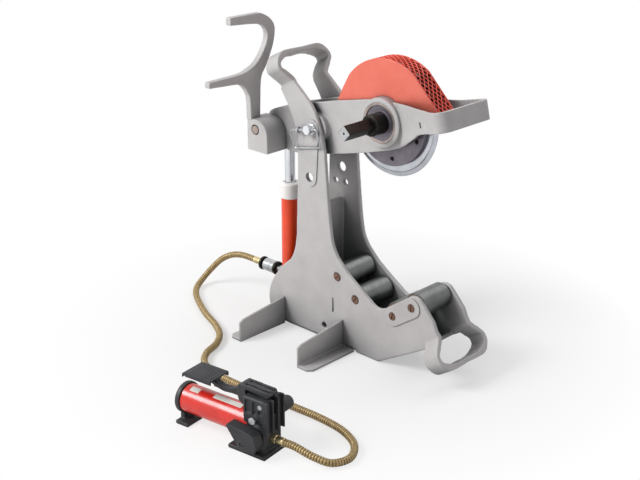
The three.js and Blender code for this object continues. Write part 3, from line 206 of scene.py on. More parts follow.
class Solid:
    """A mesh being made, in millimetres, from closed shells."""

    def __init__(self) -> None:
        """Start with nothing."""
        self.bm = bmesh.new()

    def prism(self, outline: Sequence[Point], low: float, high: float, holes: Sequence[Sequence[Point]] = (),
              basis: Matrix = SIDE_VIEW) -> Shell:
        """Fill an outline and push it from one height to another.

        Args:
            outline: the outer line, in the plane's two coordinates.
            low: where one face lies across the plane.
            high: where the other face lies.
            holes: lines of holes that go right through.
            basis: turns (first, second, height) to the object's frame.

        Returns:
            The shell's vertices.
        """
        low, high = sorted((low, high))
        edges = []
        for line in [outline, *holes]:
            ring = [self.bm.verts.new((p[0], p[1], low)) for p in line]
            edges += [self.bm.edges.new((ring[i - 1], ring[i])) for i in range(len(ring))]
        filled = bmesh.ops.triangle_fill(self.bm, edges=edges, use_beauty=True)
        faces = [g for g in filled["geom"] if isinstance(g, bmesh.types.BMFace)]
        pushed = bmesh.ops.extrude_face_region(self.bm, geom=faces, use_keep_orig=True)
        top = [g for g in pushed["geom"] if isinstance(g, bmesh.types.BMVert)]
        bmesh.ops.translate(self.bm, verts=top, vec=(0, 0, high - low))
        verts = list({v for f in faces for v in f.verts}) + top
        bmesh.ops.transform(self.bm, matrix=basis, verts=verts)
        return self._outward(verts)

    def lathe(self, profile: Sequence[Point], axis: Axis = Axis.Y, at: Point = (0, 0, 0), sides: int = 64) -> Shell:
        """Turn a profile of (radius, reach) pairs about an axis.

        Args:
            profile: pairs that close on themselves or start and end on the axis.
            axis: the axis turned about.
            at: where the axis passes.
            sides: steps in the full turn.

        Returns:
            The shell's vertices.
        """
        closed = profile[0] == profile[-1]
        points = profile[:-1] if closed else profile
        side = Axis.X.value if axis is Axis.Z else Axis.Z.value
        centre = Vector(at)
        before = set(self.bm.verts)
        verts = [self.bm.verts.new(centre + side * r + axis.value * reach) for r, reach in points]
        pairs = list(zip(verts, verts[1:])) + ([(verts[-1], verts[0])] if closed else [])
        edges = [self.bm.edges.new(pair) for pair in pairs]
        bmesh.ops.spin(
            self.bm, geom=verts + edges, cent=centre, axis=axis.value, dvec=(0, 0, 0),
            angle=2 * math.pi, steps=sides, use_merge=True, use_duplicate=False,
        )
        made = [v for v in self.bm.verts if v not in before]
        bmesh.ops.remove_doubles(self.bm, verts=made, dist=1e-4)
        return self._outward([v for v in self.bm.verts if v not in before])

    def bar(self, radius: float, low: float, high: float, axis: Axis = Axis.Y, at: Point = (0, 0, 0),
            chamfer: float = 0.6, sides: int = 48) -> Shell:
        """A round bar along an axis, with its end edges broken."""
        c = min(chamfer, radius / 2, (high - low) / 2.5)
        soft = c * 0.3
        return self.lathe(
            [(0, low), (radius - c, low), (radius - soft, low + soft), (radius, low + c), (radius, high - c),
             (radius - soft, high - soft), (radius - c, high), (0, high)], axis, at, sides)

    def block(self, low: Point, high: Point, edge: float = 0.0) -> Shell:
        """A box between two corners, with its edges rounded by a radius."""
        made = bmesh.ops.create_cube(self.bm, size=1.0)["verts"]
        bmesh.ops.scale(self.bm, vec=[h - l for l, h in zip(low, high)], verts=made)
        bmesh.ops.translate(self.bm, vec=[(h + l) / 2 for l, h in zip(low, high)], verts=made)
        if edge:
            edges = list({e for v in made for e in v.link_edges})
            done = bmesh.ops.bevel(self.bm, geom=made + edges, offset=edge, offset_type="OFFSET", segments=3,
                                   profile=0.5, affect="EDGES", clamp_overlap=True, material=-1)
            made = list({v for f in done["faces"] for v in f.verts} | {v for v in made if v.is_valid})
        return made

    def tube(self, path: Sequence[Point], radius: float | Callable[[int], float], sides: int = 16) -> Shell:
        """Sweep a circle along points, keeping it from twisting.

        Args:
            path: the centreline.
            radius: one radius, or a function of the point's number.
            sides: points in the circle.

        Returns:
            The shell's vertices.
        """
        points = [Vector(p) for p in path]
        rings = []
        normal = Vector((0, 1, 0))
        for i, p in enumerate(points):
            way = (points[min(i + 1, len(points) - 1)] - points[max(i - 1, 0)]).normalized()
            if abs(normal.dot(way)) > 0.98:
                normal = way.orthogonal()
            normal = (normal - way * normal.dot(way)).normalized()
            side = way.cross(normal)
            r = radius(i) if callable(radius) else radius
            rings.append([self.bm.verts.new(p + normal * (r * math.cos(a)) + side * (r * math.sin(a)))
                          for a in (2 * math.pi * k / sides for k in range(sides))])
        for a, b in zip(rings, rings[1:]):
            for k in range(sides):
                n = (k + 1) % sides
                self.bm.faces.new((a[k], a[n], b[n], b[k]))
        self.bm.faces.new(rings[0][::-1])
        self.bm.faces.new(rings[-1])
        return self._outward([v for ring in rings for v in ring])

    def carve(self, tools: "Solid", operation: str = "DIFFERENCE", solver: str = "EXACT") -> "Solid":
        """Cut tools from this solid, or keep what it shares with them. Both are used up.

        Args:
            tools: closed shells.
            operation: DIFFERENCE or INTERSECT.
            solver: EXACT, or MANIFOLD for two plain closed shells.

        Returns:
            The result.
        """
        both = []
        for part in (self, tools):
            mesh = bpy.data.meshes.new("work")
            part.bm.to_mesh(mesh)
            part.bm.free()
            both.append(bpy.data.objects.new("work", mesh))
            bpy.context.scene.collection.objects.link(both[-1])
        cut = both[0].modifiers.new("carve", "BOOLEAN")
        cut.object, cut.operation, cut.solver = both[1], operation, solver
        cut.use_self = solver == "EXACT"
        graph = bpy.context.evaluated_depsgraph_get()
        out = Solid()
        out.bm.from_mesh(both[0].evaluated_get(graph).data)
        for work in both:
            bpy.data.objects.remove(work)
        return out

    def move(self, verts: Iterable[bmesh.types.BMVert], matrix: Matrix) -> None:
        """Move a shell's vertices by a matrix."""
        bmesh.ops.transform(self.bm, matrix=matrix, verts=[v for v in verts if v.is_valid])

    def mesh(self, name: str) -> bpy.types.Mesh:
        """Use the solid up as a mesh in metres."""
        bmesh.ops.scale(self.bm, vec=(MM, MM, MM), verts=self.bm.verts)
        mesh = bpy.data.meshes.new(name)
        self.bm.to_mesh(mesh)
        self.bm.free()
        return mesh

    def _outward(self, verts: Shell) -> Shell:
        """Turn a shell's faces outwards."""
        faces = list({f for v in verts if v.is_valid for f in v.link_faces})
        bmesh.ops.recalc_face_normals(self.bm, faces=faces)
        return verts


class Nodes:
    """A tree of shader nodes."""

    def __init__(self, tree: bpy.types.NodeTree) -> None:
        """Work on a tree."""
        self.tree = tree

    def add(self, kind: str, links: Optional[dict] = None, **settings) -> bpy.types.Node:
        """Add a node, set its settings or inputs, and link sockets into it.

        Args:
            kind: the node's type.
            links: input name or number to the socket that feeds it.
            **settings: properties of the node, or inputs with spaces as underscores.

        Returns:
            The node.
        """
        node = self.tree.nodes.new(kind)
        for key, value in settings.items():
            if hasattr(node, key):
                setattr(node, key, value)
            else:
                node.inputs[key.replace("_", " ")].default_value = value
        for key, socket in (links or {}).items():
            self.tree.links.new(socket, node.inputs[key])
        return node


class Finish(Nodes):
    """A finish: a named node material made once and shared."""

    made: dict[str, bpy.types.Material] = {}

    def __init__(self, name: str, slot: str, ior: float = 1.5, **numbers: float) -> None:
        """Start a material.

        Args:
            name: the real material and how its surface was made.
            slot: the record's material slot.
            ior: refractive index of the surface.
            **numbers: further inputs of the shader, with spaces as underscores.
        """
        self.material = bpy.data.materials.new(name)
        self.material.use_nodes = True
        super().__init__(self.material.node_tree)
        self.shader = self.tree.nodes["Principled BSDF"]
        for key, value in {"IOR": ior, **numbers}.items():
            self.shader.inputs[key.replace("_", " ")].default_value = value
        Finish.made[slot] = self.material

    def place(self, scale: Point = (1, 1, 1)) -> Socket:
        """Object coordinates in metres, stretched by a scale."""
        here = self.add("ShaderNodeTexCoord").outputs["Object"]
        return self.add("ShaderNodeMapping", {"Vector": here}, Scale=tuple(scale)).outputs["Vector"]

    def noise(self, size_mm: float, detail: float = 3, stretch: Point = (1, 1, 1)) -> Socket:
        """Cloudy values whose patches are size_mm across."""
        return self.add("ShaderNodeTexNoise", {"Vector": self.place(stretch)}, Scale=1 / (size_mm * MM),
                        Detail=detail, Roughness=0.5).outputs["Fac"]

    def span(self, value: Socket, low: float, high: float, to_low: float = 0.0, to_high: float = 1.0) -> Socket:
        """Map a value from one range to another, held at its ends."""
        return self.add("ShaderNodeMapRange", {"Value": value}, clamp=True, From_Min=low, From_Max=high,
                        To_Min=to_low, To_Max=to_high).outputs["Result"]

    def between(self, share: Socket, first: str | Socket, second: str | Socket) -> Socket:
        """Blend two colours, given as hex text or sockets."""
        node = self.add("ShaderNodeMix", {0: share}, data_type="RGBA")
        for number, colour in ((6, first), (7, second)):
            if isinstance(colour, str):
                node.inputs[number].default_value = linear(colour)
            else:
                self.tree.links.new(colour, node.inputs[number])
        return node.outputs[2]

    def bump(self, height: Socket, depth_mm: float, strength: float = 1.0, over: Optional[Socket] = None) -> Socket:
        """Raise the surface by a height map of a real depth."""
        links = {"Height": height, "Normal": over} if over else {"Height": height}
        return self.add("ShaderNodeBump", links, Strength=strength, Distance=depth_mm * MM).outputs["Normal"]

    def feed(self, **sockets: Socket) -> bpy.types.Material:
        """Link sockets to the shader's inputs, with spaces as underscores, and give the material."""
        for key, socket in sockets.items():
            self.tree.links.new(socket, self.shader.inputs[key.replace("_", " ")])
        return self.material


@dataclass(frozen=True)
class Enamel:
    """Paint on metal: the eye sees one colour, softly mottled, over a surface as rough as what it covers.

    The grain and the waves are drawn coarser and deeper than real, so that they show at the picture's size.
    A painted shade darkens the recesses, between a share of open sky where it is full and one where it is gone.
    """

    name: str
    slot: str
    colour: str
    shade: str
    roughness: float
    grain_mm: float
    grain_depth_mm: float
    gloss: float = 0.0
    wave_depth_mm: float = 0.12
    # The colour of a painted shade in the recesses; empty for none.
    painted_shade: str = ""
    cloud_mm: ClassVar[float] = 45
    speck_mm: ClassVar[float] = 2.2
    wave_mm: ClassVar[float] = 14
    recess_mm: ClassVar[float] = 110
    open_sky: ClassVar[tuple] = (0.22, 0.76)
    gloss_roughness: ClassVar[float] = 0.12

    def make(self) -> bpy.types.Material:
        """Build the paint's material.

        Returns:
            The material.
        """
        gloss = {"Coat_Weight": self.gloss, "Coat_Roughness": self.gloss_roughness} if self.gloss else {}
        f = Finish(self.name, self.slot, **gloss)
        cloud = f.span(f.noise(self.cloud_mm, 4), 0.35, 0.7)
        speck = f.span(f.noise(self.speck_mm, 2), 0.62, 0.78, 0.0, 0.35)
        tone = f.between(cloud, self.colour, self.shade)
        if self.painted_shade:
            # Painted shade: ambient occlusion darkens the colour in the recesses, where shadow falls.
            sky = f.add("ShaderNodeAmbientOcclusion", Distance=self.recess_mm * MM, samples=6).outputs["AO"]
            tone = f.between(f.span(sky, *self.open_sky), self.painted_shade, tone)
        wavy = f.bump(f.noise(self.wave_mm, 2), self.wave_depth_mm, 0.5)
        return f.feed(Base_Color=f.between(speck, tone, self.shade),
                      Roughness=f.span(cloud, 0, 1, self.roughness - 0.05, self.roughness + 0.08),
                      Normal=f.bump(f.noise(self.grain_mm, 3), self.grain_depth_mm, 0.7, wavy))


@dataclass(frozen=True)
class Metal:
    """Bare or plated metal: the eye sees fine tool marks along one way and faint stains.

    The marks are drawn coarser and deeper than real, so that they show at the picture's size.
    """

    name: str
    slot: str
    colour: str
    stain: str
    roughness: float
    mark_mm: float = 0.6
    mark_depth_mm: float = 0.01
    stretch: tuple[float, float, float] = (1, 1, 1)
    stain_mm: ClassVar[float] = 25
    haze_mm: ClassVar[float] = 9

    def make(self) -> bpy.types.Material:
        """Build the metal's material.

        Returns:
            The material.
        """
        f = Finish(self.name, self.slot, Metallic=1.0)
        stain = f.span(f.noise(self.stain_mm, 4), 0.45, 0.75, 0.0, 0.5)
        rough = f.span(f.noise(self.haze_mm, 3), 0.3, 0.7, self.roughness * 0.85, self.roughness * 1.25)
        return f.feed(Base_Color=f.between(stain, self.colour, self.stain), Roughness=rough,
                      Normal=f.bump(f.noise(self.mark_mm, 2, self.stretch), self.mark_depth_mm, 0.8))


@dataclass(frozen=True)
class HoseCover:
    """Moulded ribbed hose: the eye sees tan gold ribs with dark lines in the grooves between them."""

    name: str = "PVC, moulded ribbed"
    slot: str = "hose_cover"
    rib: str = "9c8355"
    lit: str = "bba271"
    groove: str = "241c10"

    def make(self) -> bpy.types.Material:
        """Build the cover's material from the hose's own groove attribute.

        Returns:
            The material.
        """
        f = Finish(self.name, self.slot, 1.52, Roughness=0.38, Metallic=0.35)
        deep = f.add("ShaderNodeAttribute", attribute_name="groove").outputs["Fac"]
        tone = f.between(f.span(f.noise(7, 3), 0.35, 0.7), self.rib, self.lit)
        return f.feed(Base_Color=f.between(f.span(deep, 0.25, 0.9), tone, self.groove),
                      Normal=f.bump(f.noise(1.2, 2), 0.05, 0.4))


FINISHES = (
    # The frame's and the guard's paints end with the colour of a painted shade in their recesses: between the frame's
    # plates and inside the guard.
    Enamel("Enamel, sprayed on sand-cast iron", "frame_paint", "c0bdbd", "b7b4b4", 0.5, 1.6, 0.14, painted_shade="4e5456"),
    # The guard's pale salmon is its red-orange paint lightened by a painted sheen.
    Enamel("Enamel, sprayed on pressed steel", "guard_paint", "ea7460", "e36a56", 0.42, 0.9, 0.03, 0.15,
           painted_shade="33231c"),
    Enamel("Enamel, dipped on expanded steel", "mesh_paint", "f4492a", "e33f22", 0.4, 0.9, 0.02, 0.15),
    Enamel("Gloss enamel, sprayed on turned steel", "cylinder_paint", "f2450f", "e33d0c", 0.34, 0.9, 0.01, 0.25, 0.03),
    Enamel("Cream enamel, sprayed on turned steel", "collar_paint", "f6f3f2", "ebe8e5", 0.42, 0.9, 0.02, 0.2, 0.03),
    Enamel("Gloss enamel, baked on drawn tube", "tank_paint", "e0281a", "d02214", 0.3, 0.9, 0.01, 0.4, 0.03),
    Enamel("Powder coat, black on cast aluminium", "pump_black", "2e2f32", "232427", 0.55, 0.8, 0.05),
    Metal("Chrome, polished", "chrome", "d8dade", "b9bdc4", 0.12, 0.8, 0.004, (1, 6, 1)),
    Metal("Zinc plate, bright on turned steel", "steel", "b9bbbd", "94979a", 0.28, 0.7, 0.01, (1, 5, 1)),
    Metal("Steel, black oxide on milled bar", "black_steel", "2b2a28", "403d39", 0.45, 0.9, 0.02, (1, 0.2, 1)),
    Metal("Steel, turned and oiled", "roller_steel", "6b6d6c", "535554", 0.36, 0.7, 0.02, (1, 6, 1)),
    Metal("Bronze, sintered", "bronze", "8c7062", "68534a", 0.5, 0.8, 0.02),
    Metal("Steel, turned and worn", "bolt_face", "b3a49c", "93857e", 0.45, 0.8, 0.02),
    Metal("Tool steel, ground bright", "wheel_edge", "b7bac0", "9a9da4", 0.2, 0.8, 0.004, (1, 6, 1)),
    Metal("Steel, blued and ground", "hub_metal", "7a757d", "605b62", 0.42, 0.8, 0.015),
    Metal("Brass, turned", "brass", "d9c79c", "b29c6c", 0.3, 0.6, 0.01, (6, 1, 1)),
    Enamel("Paper label, printed blank", "label", "e9e7e2", "dcd9d3", 0.5, 0.9, 0.01),
    HoseCover(),
)


@dataclass(frozen=True)
class Piece:
    """A named, dressed object on its body.

    Attributes:
        name: the object's name.
        slot: its finish.
        body: the body it rides on.
        nodes: the solids it stands for.
        edge: how far its edges are broken.
        angle: the sharpest angle that still shades smoothly, in degrees.
    """

    name: str
    slot: str
    body: str
    nodes: Sequence[str] = ()
    edge: Edge = Edge.DRAWN
    angle: float = 20
    sharp_angle: ClassVar[float] = 35
    cast_angle: ClassVar[float] = 50
    shared: ClassVar[dict[str, str]] = {
        "wheel_edge": "chrome", "label": "tank_paint", "mesh_paint": "guard_paint", "bolt_face": "bronze"}

    def finish(self, solid: Solid, where: Optional[Matrix] = None) -> bpy.types.Object:
        """Place a solid, break its edges and dress it.

        Args:
            solid: the mesh, in millimetres.
            where: its place, if it isn't there yet.

        Returns:
            The object.
        """
        bm = solid.bm
        if where is not None:
            solid.move(bm.verts, where)
        if self.edge.value:
            least = math.radians(self.sharp_angle)
            sharp = [e for e in bm.edges if len(e.link_faces) == 2 and e.calc_face_angle(0) > least]
            bmesh.ops.bevel(bm, geom=sharp, offset=self.edge.value, offset_type="OFFSET", segments=2, profile=0.5,
                            affect="EDGES", clamp_overlap=True, material=-1)
        return self.dress(solid.mesh(self.name), self.angle)

    def turn(self, axis: Axis, at: Point, *shells: tuple[int, Sequence[Point]],
             where: Optional[Matrix] = None) -> bpy.types.Object:
        """Turn the piece on a lathe and finish it.

        Args:
            axis: the axis turned about.
            at: where the axis passes.
            *shells: the number of sides and the profile of each shell.
            where: the piece's place, if it isn't there yet.

        Returns:
            The object.
        """
        s = Solid()
        for sides, profile in shells:
            s.lathe(profile, axis, at, sides)
        return self.finish(s, where)

    def cast(self, solid: Solid, voxel: float, keep: float = 0.25, rounds: int = 3,
             where: Optional[Matrix] = None) -> bpy.types.Object:
        """Melt a solid's shells into one casting with soft edges and fillets.

        Args:
            solid: overlapping closed shells, in millimetres.
            voxel: the size of the grid that melts the shells together.
            keep: share of the faces that is kept.
            rounds: passes of smoothing.
            where: the casting's place, if it isn't there yet.

        Returns:
            The object.
        """
        if where is not None:
            solid.move(solid.bm.verts, where)
        rough = bpy.data.objects.new(self.name, solid.mesh(self.name))
        bpy.context.scene.collection.objects.link(rough)
        for kind, settings in (("REMESH", {"mode": "VOXEL", "voxel_size": voxel * MM}),
                               ("SMOOTH", {"factor": 0.5, "iterations": rounds}), ("DECIMATE", {"ratio": keep})):
            step = rough.modifiers.new(kind.lower(), kind)
            for key, value in settings.items():
                setattr(step, key, value)
        graph = bpy.context.evaluated_depsgraph_get()
        made = bpy.data.meshes.new_from_object(rough.evaluated_get(graph))
        bpy.data.objects.remove(rough)
        made.name = self.name
        return self.dress(made, self.cast_angle)

    def dress(self, mesh: bpy.types.Mesh, angle: float) -> bpy.types.Object:
        """Shade, link and paint a mesh, and put it on its body."""
        mesh.polygons.foreach_set("use_smooth", [True] * len(mesh.polygons))
        mesh.set_sharp_from_angle(angle=math.radians(angle))
        mesh.materials.clear()
        mesh.materials.append(Finish.made[self.slot])
        piece = bpy.data.objects.new(self.name, mesh)
        bpy.context.scene.collection.objects.link(piece)
        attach(piece, self.body)
        if self.nodes:
            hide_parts(*self.nodes)
        LOG.info("%s: %d faces on %s", piece.name, len(mesh.polygons), self.body)
        return piece


@dataclass
class Frame:
    """The cast frame: two plates, a web, a floor, pads and two carrying loops."""

    inner: float = 46
    outer: float = 56
    base_rise: float = 6.6
    base_step: float = 94
    floor_wall: float = 9
    web_x: float = -37
    web_wall: float = 9
    web_top: float = 312
    pivot: tuple[float, float] = (-37, 494)
    spare: tuple[float, float] = (-43.5, 382)
    pin_r: float = 10.8
    axle_r: float = 9.3
    cast_play: float = 0.8
    pad_r: float = 21
    axle_pad_r: float = 22
    ridge_low: tuple = (23.4, 79)
    ridge_high: tuple = (28, 112)
    handle_depth: float = 42
    band: float = 10
    flare: float = 27
    handles: tuple = (((-95, 591), 26, 68), ((329, 115), -146, 74))
    near_holes: tuple = ((0, 35, 7),)
    far_holes: tuple = ((-61, 347, 6.6), (-31, 348, 6.6))
    axles: tuple = ((39.5, 166.5), (94, 127.5), (204.5, 124.5), (256, 160))
    top_curve: tuple = ((-95, 591), (-42, 546), (-20, 512), (-8, 480), (0, 445))
    column: tuple = ((7, 368), (12, 320), (18, 272), (26, 236), (40, 212))
    slope: tuple = ((70, 183), (105, 159), (135, 140), (150, 130.5), (165, 128), (181, 134))
    nose: tuple = ((239, 176), (253, 185), (270, 185.5), (283, 176), (313, 144))
    front: tuple = ((327, 115), (297, 94), (301, 78.5), (165, 0))
    floor_tip: tuple = (289, 71.5)
    bulge: tuple = ((-172.5, 12), (-181, 50), (-175, 85), (-154, 121), (-130, 149), (-106, 171), (-93, 200), (-87, 235))
    rear: tuple = ((-83, 350), (-82, 423), (-86, 480), (-110, 531), (-134, 567))

    def outline(self) -> Outline:
        """The plates' outline, from the top handle round the front."""
        return [
            *smooth(self.top_curve), *smooth(self.column), *smooth(self.slope), *smooth(self.nose),
            *self.front, (self.base_step + self.base_rise, 0), (self.base_step, self.base_rise),
            (self.bulge[0][0] + 10, self.base_rise), *smooth(self.bulge), *smooth(self.rear),
        ]

    def loop(self, solid: Solid, start: tuple[float, float], lean: float, reach: float) -> None:
        """Add a flared carrying loop that grows out of both plates.

        Args:
            solid: where it goes.
            start: the side-view place it grows from.
            lean: how far it leans from upright, in degrees, rearwards positive.
            reach: how far its bar stands from the start.
        """
        wide, mid = self.outer + self.flare, reach / 2
        b, shoulder = self.band, reach - self.flare
        outer = smooth([(self.outer, -b), (self.outer, 0), (wide - b, b * 2), (wide, mid),
                        (wide - b / 2, shoulder + b), (self.outer, reach), (0, reach)], 8)
        inner = smooth([(self.inner, -b), (self.inner, b / 2), (wide - b * 2, b * 2.5), (wide - b, mid),
                        (wide - b * 1.5, shoulder + b / 2), (self.inner - b, reach - b), (0, reach - b)], 8)
        mirror = [(-y, s) for y, s in outer[-2::-1]]
        mirror_in = [(-y, s) for y, s in inner[:-1]]
        a = math.radians(lean)
        along = Vector((-math.sin(a), 0, math.cos(a)))
        across = Vector((0, 1, 0))
        back = across.cross(along)
        setback = -self.handle_depth if back.x > 0 else 0
        place = Matrix((across, along, back)).transposed().to_4x4()
        place.translation = Vector((start[0], 0, start[1])) + back * setback
        solid.prism([*outer, *mirror, *mirror_in, *inner[::-1]], 0, self.handle_depth, basis=place)

    def build(self) -> None:
        """Cast the frame and fit its feet."""
        s = Solid()
        line = self.outline()
        pins = [circle(*p, self.pin_r + self.cast_play) for p in (self.pivot, self.spare)]
        pins += [circle(*p, self.axle_r + self.cast_play, 28) for p in self.axles]
        for side, small in ((-1, self.near_holes), (1, self.far_holes)):
            s.prism(line, side * self.inner, side * self.outer, pins + [circle(*hole, 24) for hole in small])
        reach = self.inner + 4
        s.block((self.web_x - self.web_wall, -reach, 4), (self.web_x, reach, self.web_top))
        low, foot = self.floor_tip, self.front[-1]
        s.block((-170, -reach, 0), (foot[0], reach, self.floor_wall))
        way = Vector((low[0] - foot[0], low[1] - foot[1])).normalized() * self.floor_wall
        s.prism([foot, low, (low[0] - way.y, low[1] + way.x), (foot[0] - way.y, foot[1] + way.x)], -reach, reach)
        for handle in self.handles:
            self.loop(s, *handle)
        Piece("frame_body", "frame_paint", "frame", ["frame_casting"]).cast(s, 1.9)
        self.pads()
        for row, x, outward in (("rear", -126, -1), ("front", 54, 1)):
            for name, side in SIDES:
                self.foot(f"foot_{row}_{name}", side, x, outward)

    def pads(self) -> None:
        """Spot-face the pads round the pins and front axles, and add the short ridge."""
        s = Solid()
        face, root = -self.outer - 3, -self.outer + 4
        s.prism(obround(self.pivot, self.spare, self.pad_r), face + 0.5, root,
                [circle(*self.pivot, self.pin_r), circle(*self.spare, self.pin_r)])
        s.prism(obround(*self.axles[2:], self.axle_pad_r), face, root,
                [circle(*p, self.axle_r, 28) for p in self.axles[2:]])
        (x0, z0), (x1, z1) = self.ridge_low, self.ridge_high
        s.block((x0, face - 0.4, z0), (x1, root - 1, z1))
        Piece("frame_pads_spotfaced", "frame_paint", "frame", edge=Edge.SPOTFACED).finish(s)

    def foot(self, name: str, side: int, x: float, outward: int) -> None:
        """An angle bar that stands out of a plate, with its corners cut off."""
        start, end, wall, flange, cut = 56.3, 200.0, 5.5, 40.0, 11
        s = Solid()
        upright = [(start, 0), (end, 0), (end, 48), (end - cut, 53.5), (start, 68)]
        flat = [(0, start), (flange, start), (flange, end - cut), (flange - cut, end), (0, end)]
        made = s.prism(upright, 0, wall, basis=FRONT_VIEW) + s.prism(flat, 0, wall, basis=PLAN_VIEW)
        s.move(made, Matrix.Translation((x, 0, 0)) @ Matrix.Diagonal((outward, side, 1, 1)))
        Piece(name, "frame_paint", "frame", [name]).cast(s, 1.3, 0.3)


@dataclass
class RollerBed:
    """Four rollers on slotted axles, each on a flanged bronze bush."""

    radius: float = 28
    end: float = 42.8
    bore: float = 11.8
    chamfer: float = 1.5
    axle_r: float = 9
    slot: float = 2.4
    axles: tuple = Frame.axles
    outer: float = Frame.outer

    def build(self) -> None:
        """Make each roller, its bush and its axle."""
        r, e, b, bore = self.radius, self.end, self.chamfer, self.bore
        for i, (x, z) in enumerate(self.axles, 1):
            at, body = (x, 0, z), f"roller_{i}"
            Piece(f"roller_{i}_turned", "roller_steel", body, [body]).turn(Axis.Y, at, (
                64, mirrored([(bore, -e), (r - b, -e), (r - b * 0.4, -e + b * 0.3), (r, -e + b)])))
            Piece(f"roller_{i}_bush", "bronze", body, [f"roller_bush_{i}"]).turn(Axis.Y, at, (
                64, [(9.4, -45.7), (24.4, -45.7), (25, -45.1), (25, -43.9), (24.4, -43.3), (11.4, -43.3), (11.4, e),
                     (9.4, e), (9.4, -45.7)]))
            s = Solid()
            face = self.outer if i < 3 else self.outer + 3
            self.slotted(s, x, z, -face - 0.8, 30 + i * 15)
            Piece(f"roller_{i}_axle", "bronze", "frame", [f"roller_axle_{i}"], Edge.TURNED).finish(s)

    def slotted(self, s: Solid, x: float, z: float, low: float, way: float) -> None:
        """A round axle whose near end is two segments beside a screwdriver slot at an angle."""
        half = math.degrees(math.asin(self.slot / 2 / self.axle_r))
        s.bar(self.axle_r, low + self.slot, self.outer, Axis.Y, (x, 0, z), 0.8)
        for side in (0, 180):
            s.prism(arc(x, z, self.axle_r, way + side + half, way + side + 180 - half, 24), low, low + self.slot + 0.2)


@dataclass
class PivotPin:
    """The pin that carries the arm, with its locking pin and wire bail."""

    x: float = Frame.pivot[0]
    z: float = Frame.pivot[1]
    radius: float = 10.5
    outer: float = Frame.outer
    near: float = -76
    lock_y: float = -68
    lock_tilt: float = 12
    lock: tuple[float, float] = (-27.5, 19)
    wire: float = 2
    drop: float = 42
    bend: float = 6
    bail: tuple[float, float] = (-57, 23.5)
    lean: float = 9

    def build(self) -> None:
        """Make the three pieces."""
        s = Solid()
        face = self.outer
        for radius, low, high, chamfer in ((self.radius, self.near, face + 3, 1.4), (16, face + 0.3, face + 6.3, 1.2),
                                           (12.6, -face - 5.4, -face - 2.7, 0.8)):
            s.bar(radius, low, high, Axis.Y, (self.x, 0, self.z), chamfer)
        Piece("pivot_pin_turned", "chrome", "frame", ["pivot_pin"]).finish(s)
        here = (Matrix.Translation((self.x, self.lock_y, self.z))
                @ Matrix.Rotation(-math.radians(self.lock_tilt), 4, "Y"))
        s = Solid()
        low, high = self.lock
        s.bar(4, low, high, Axis.X, chamfer=0.8)
        s.bar(7.5, low - 6, low, Axis.X, chamfer=1.0)
        Piece("pivot_lock_pin", "steel", "frame", ["lock_pin"]).finish(s, here)
        s = Solid()
        (left, right), bend = self.bail, self.bend
        corners = ((left + bend, -bend, 90), (left + bend, bend - self.drop, 180),
                   (right - bend, bend - self.drop, 270), (right - bend, -bend, 0))
        path = [p for x, drop, start in corners for p in arc(x, drop, bend, start, start + 90, 6)]
        s.tube([(x, 0, drop) for x, drop in [(low - 4, 0), (left + bend, 0), *path, (high - 3, 0)]], self.wire, 14)
        Piece("pivot_wire_bail", "steel", "bail", ["wire_bail"]).finish(
            s, here @ Matrix.Rotation(math.radians(self.lean), 4, "X"))


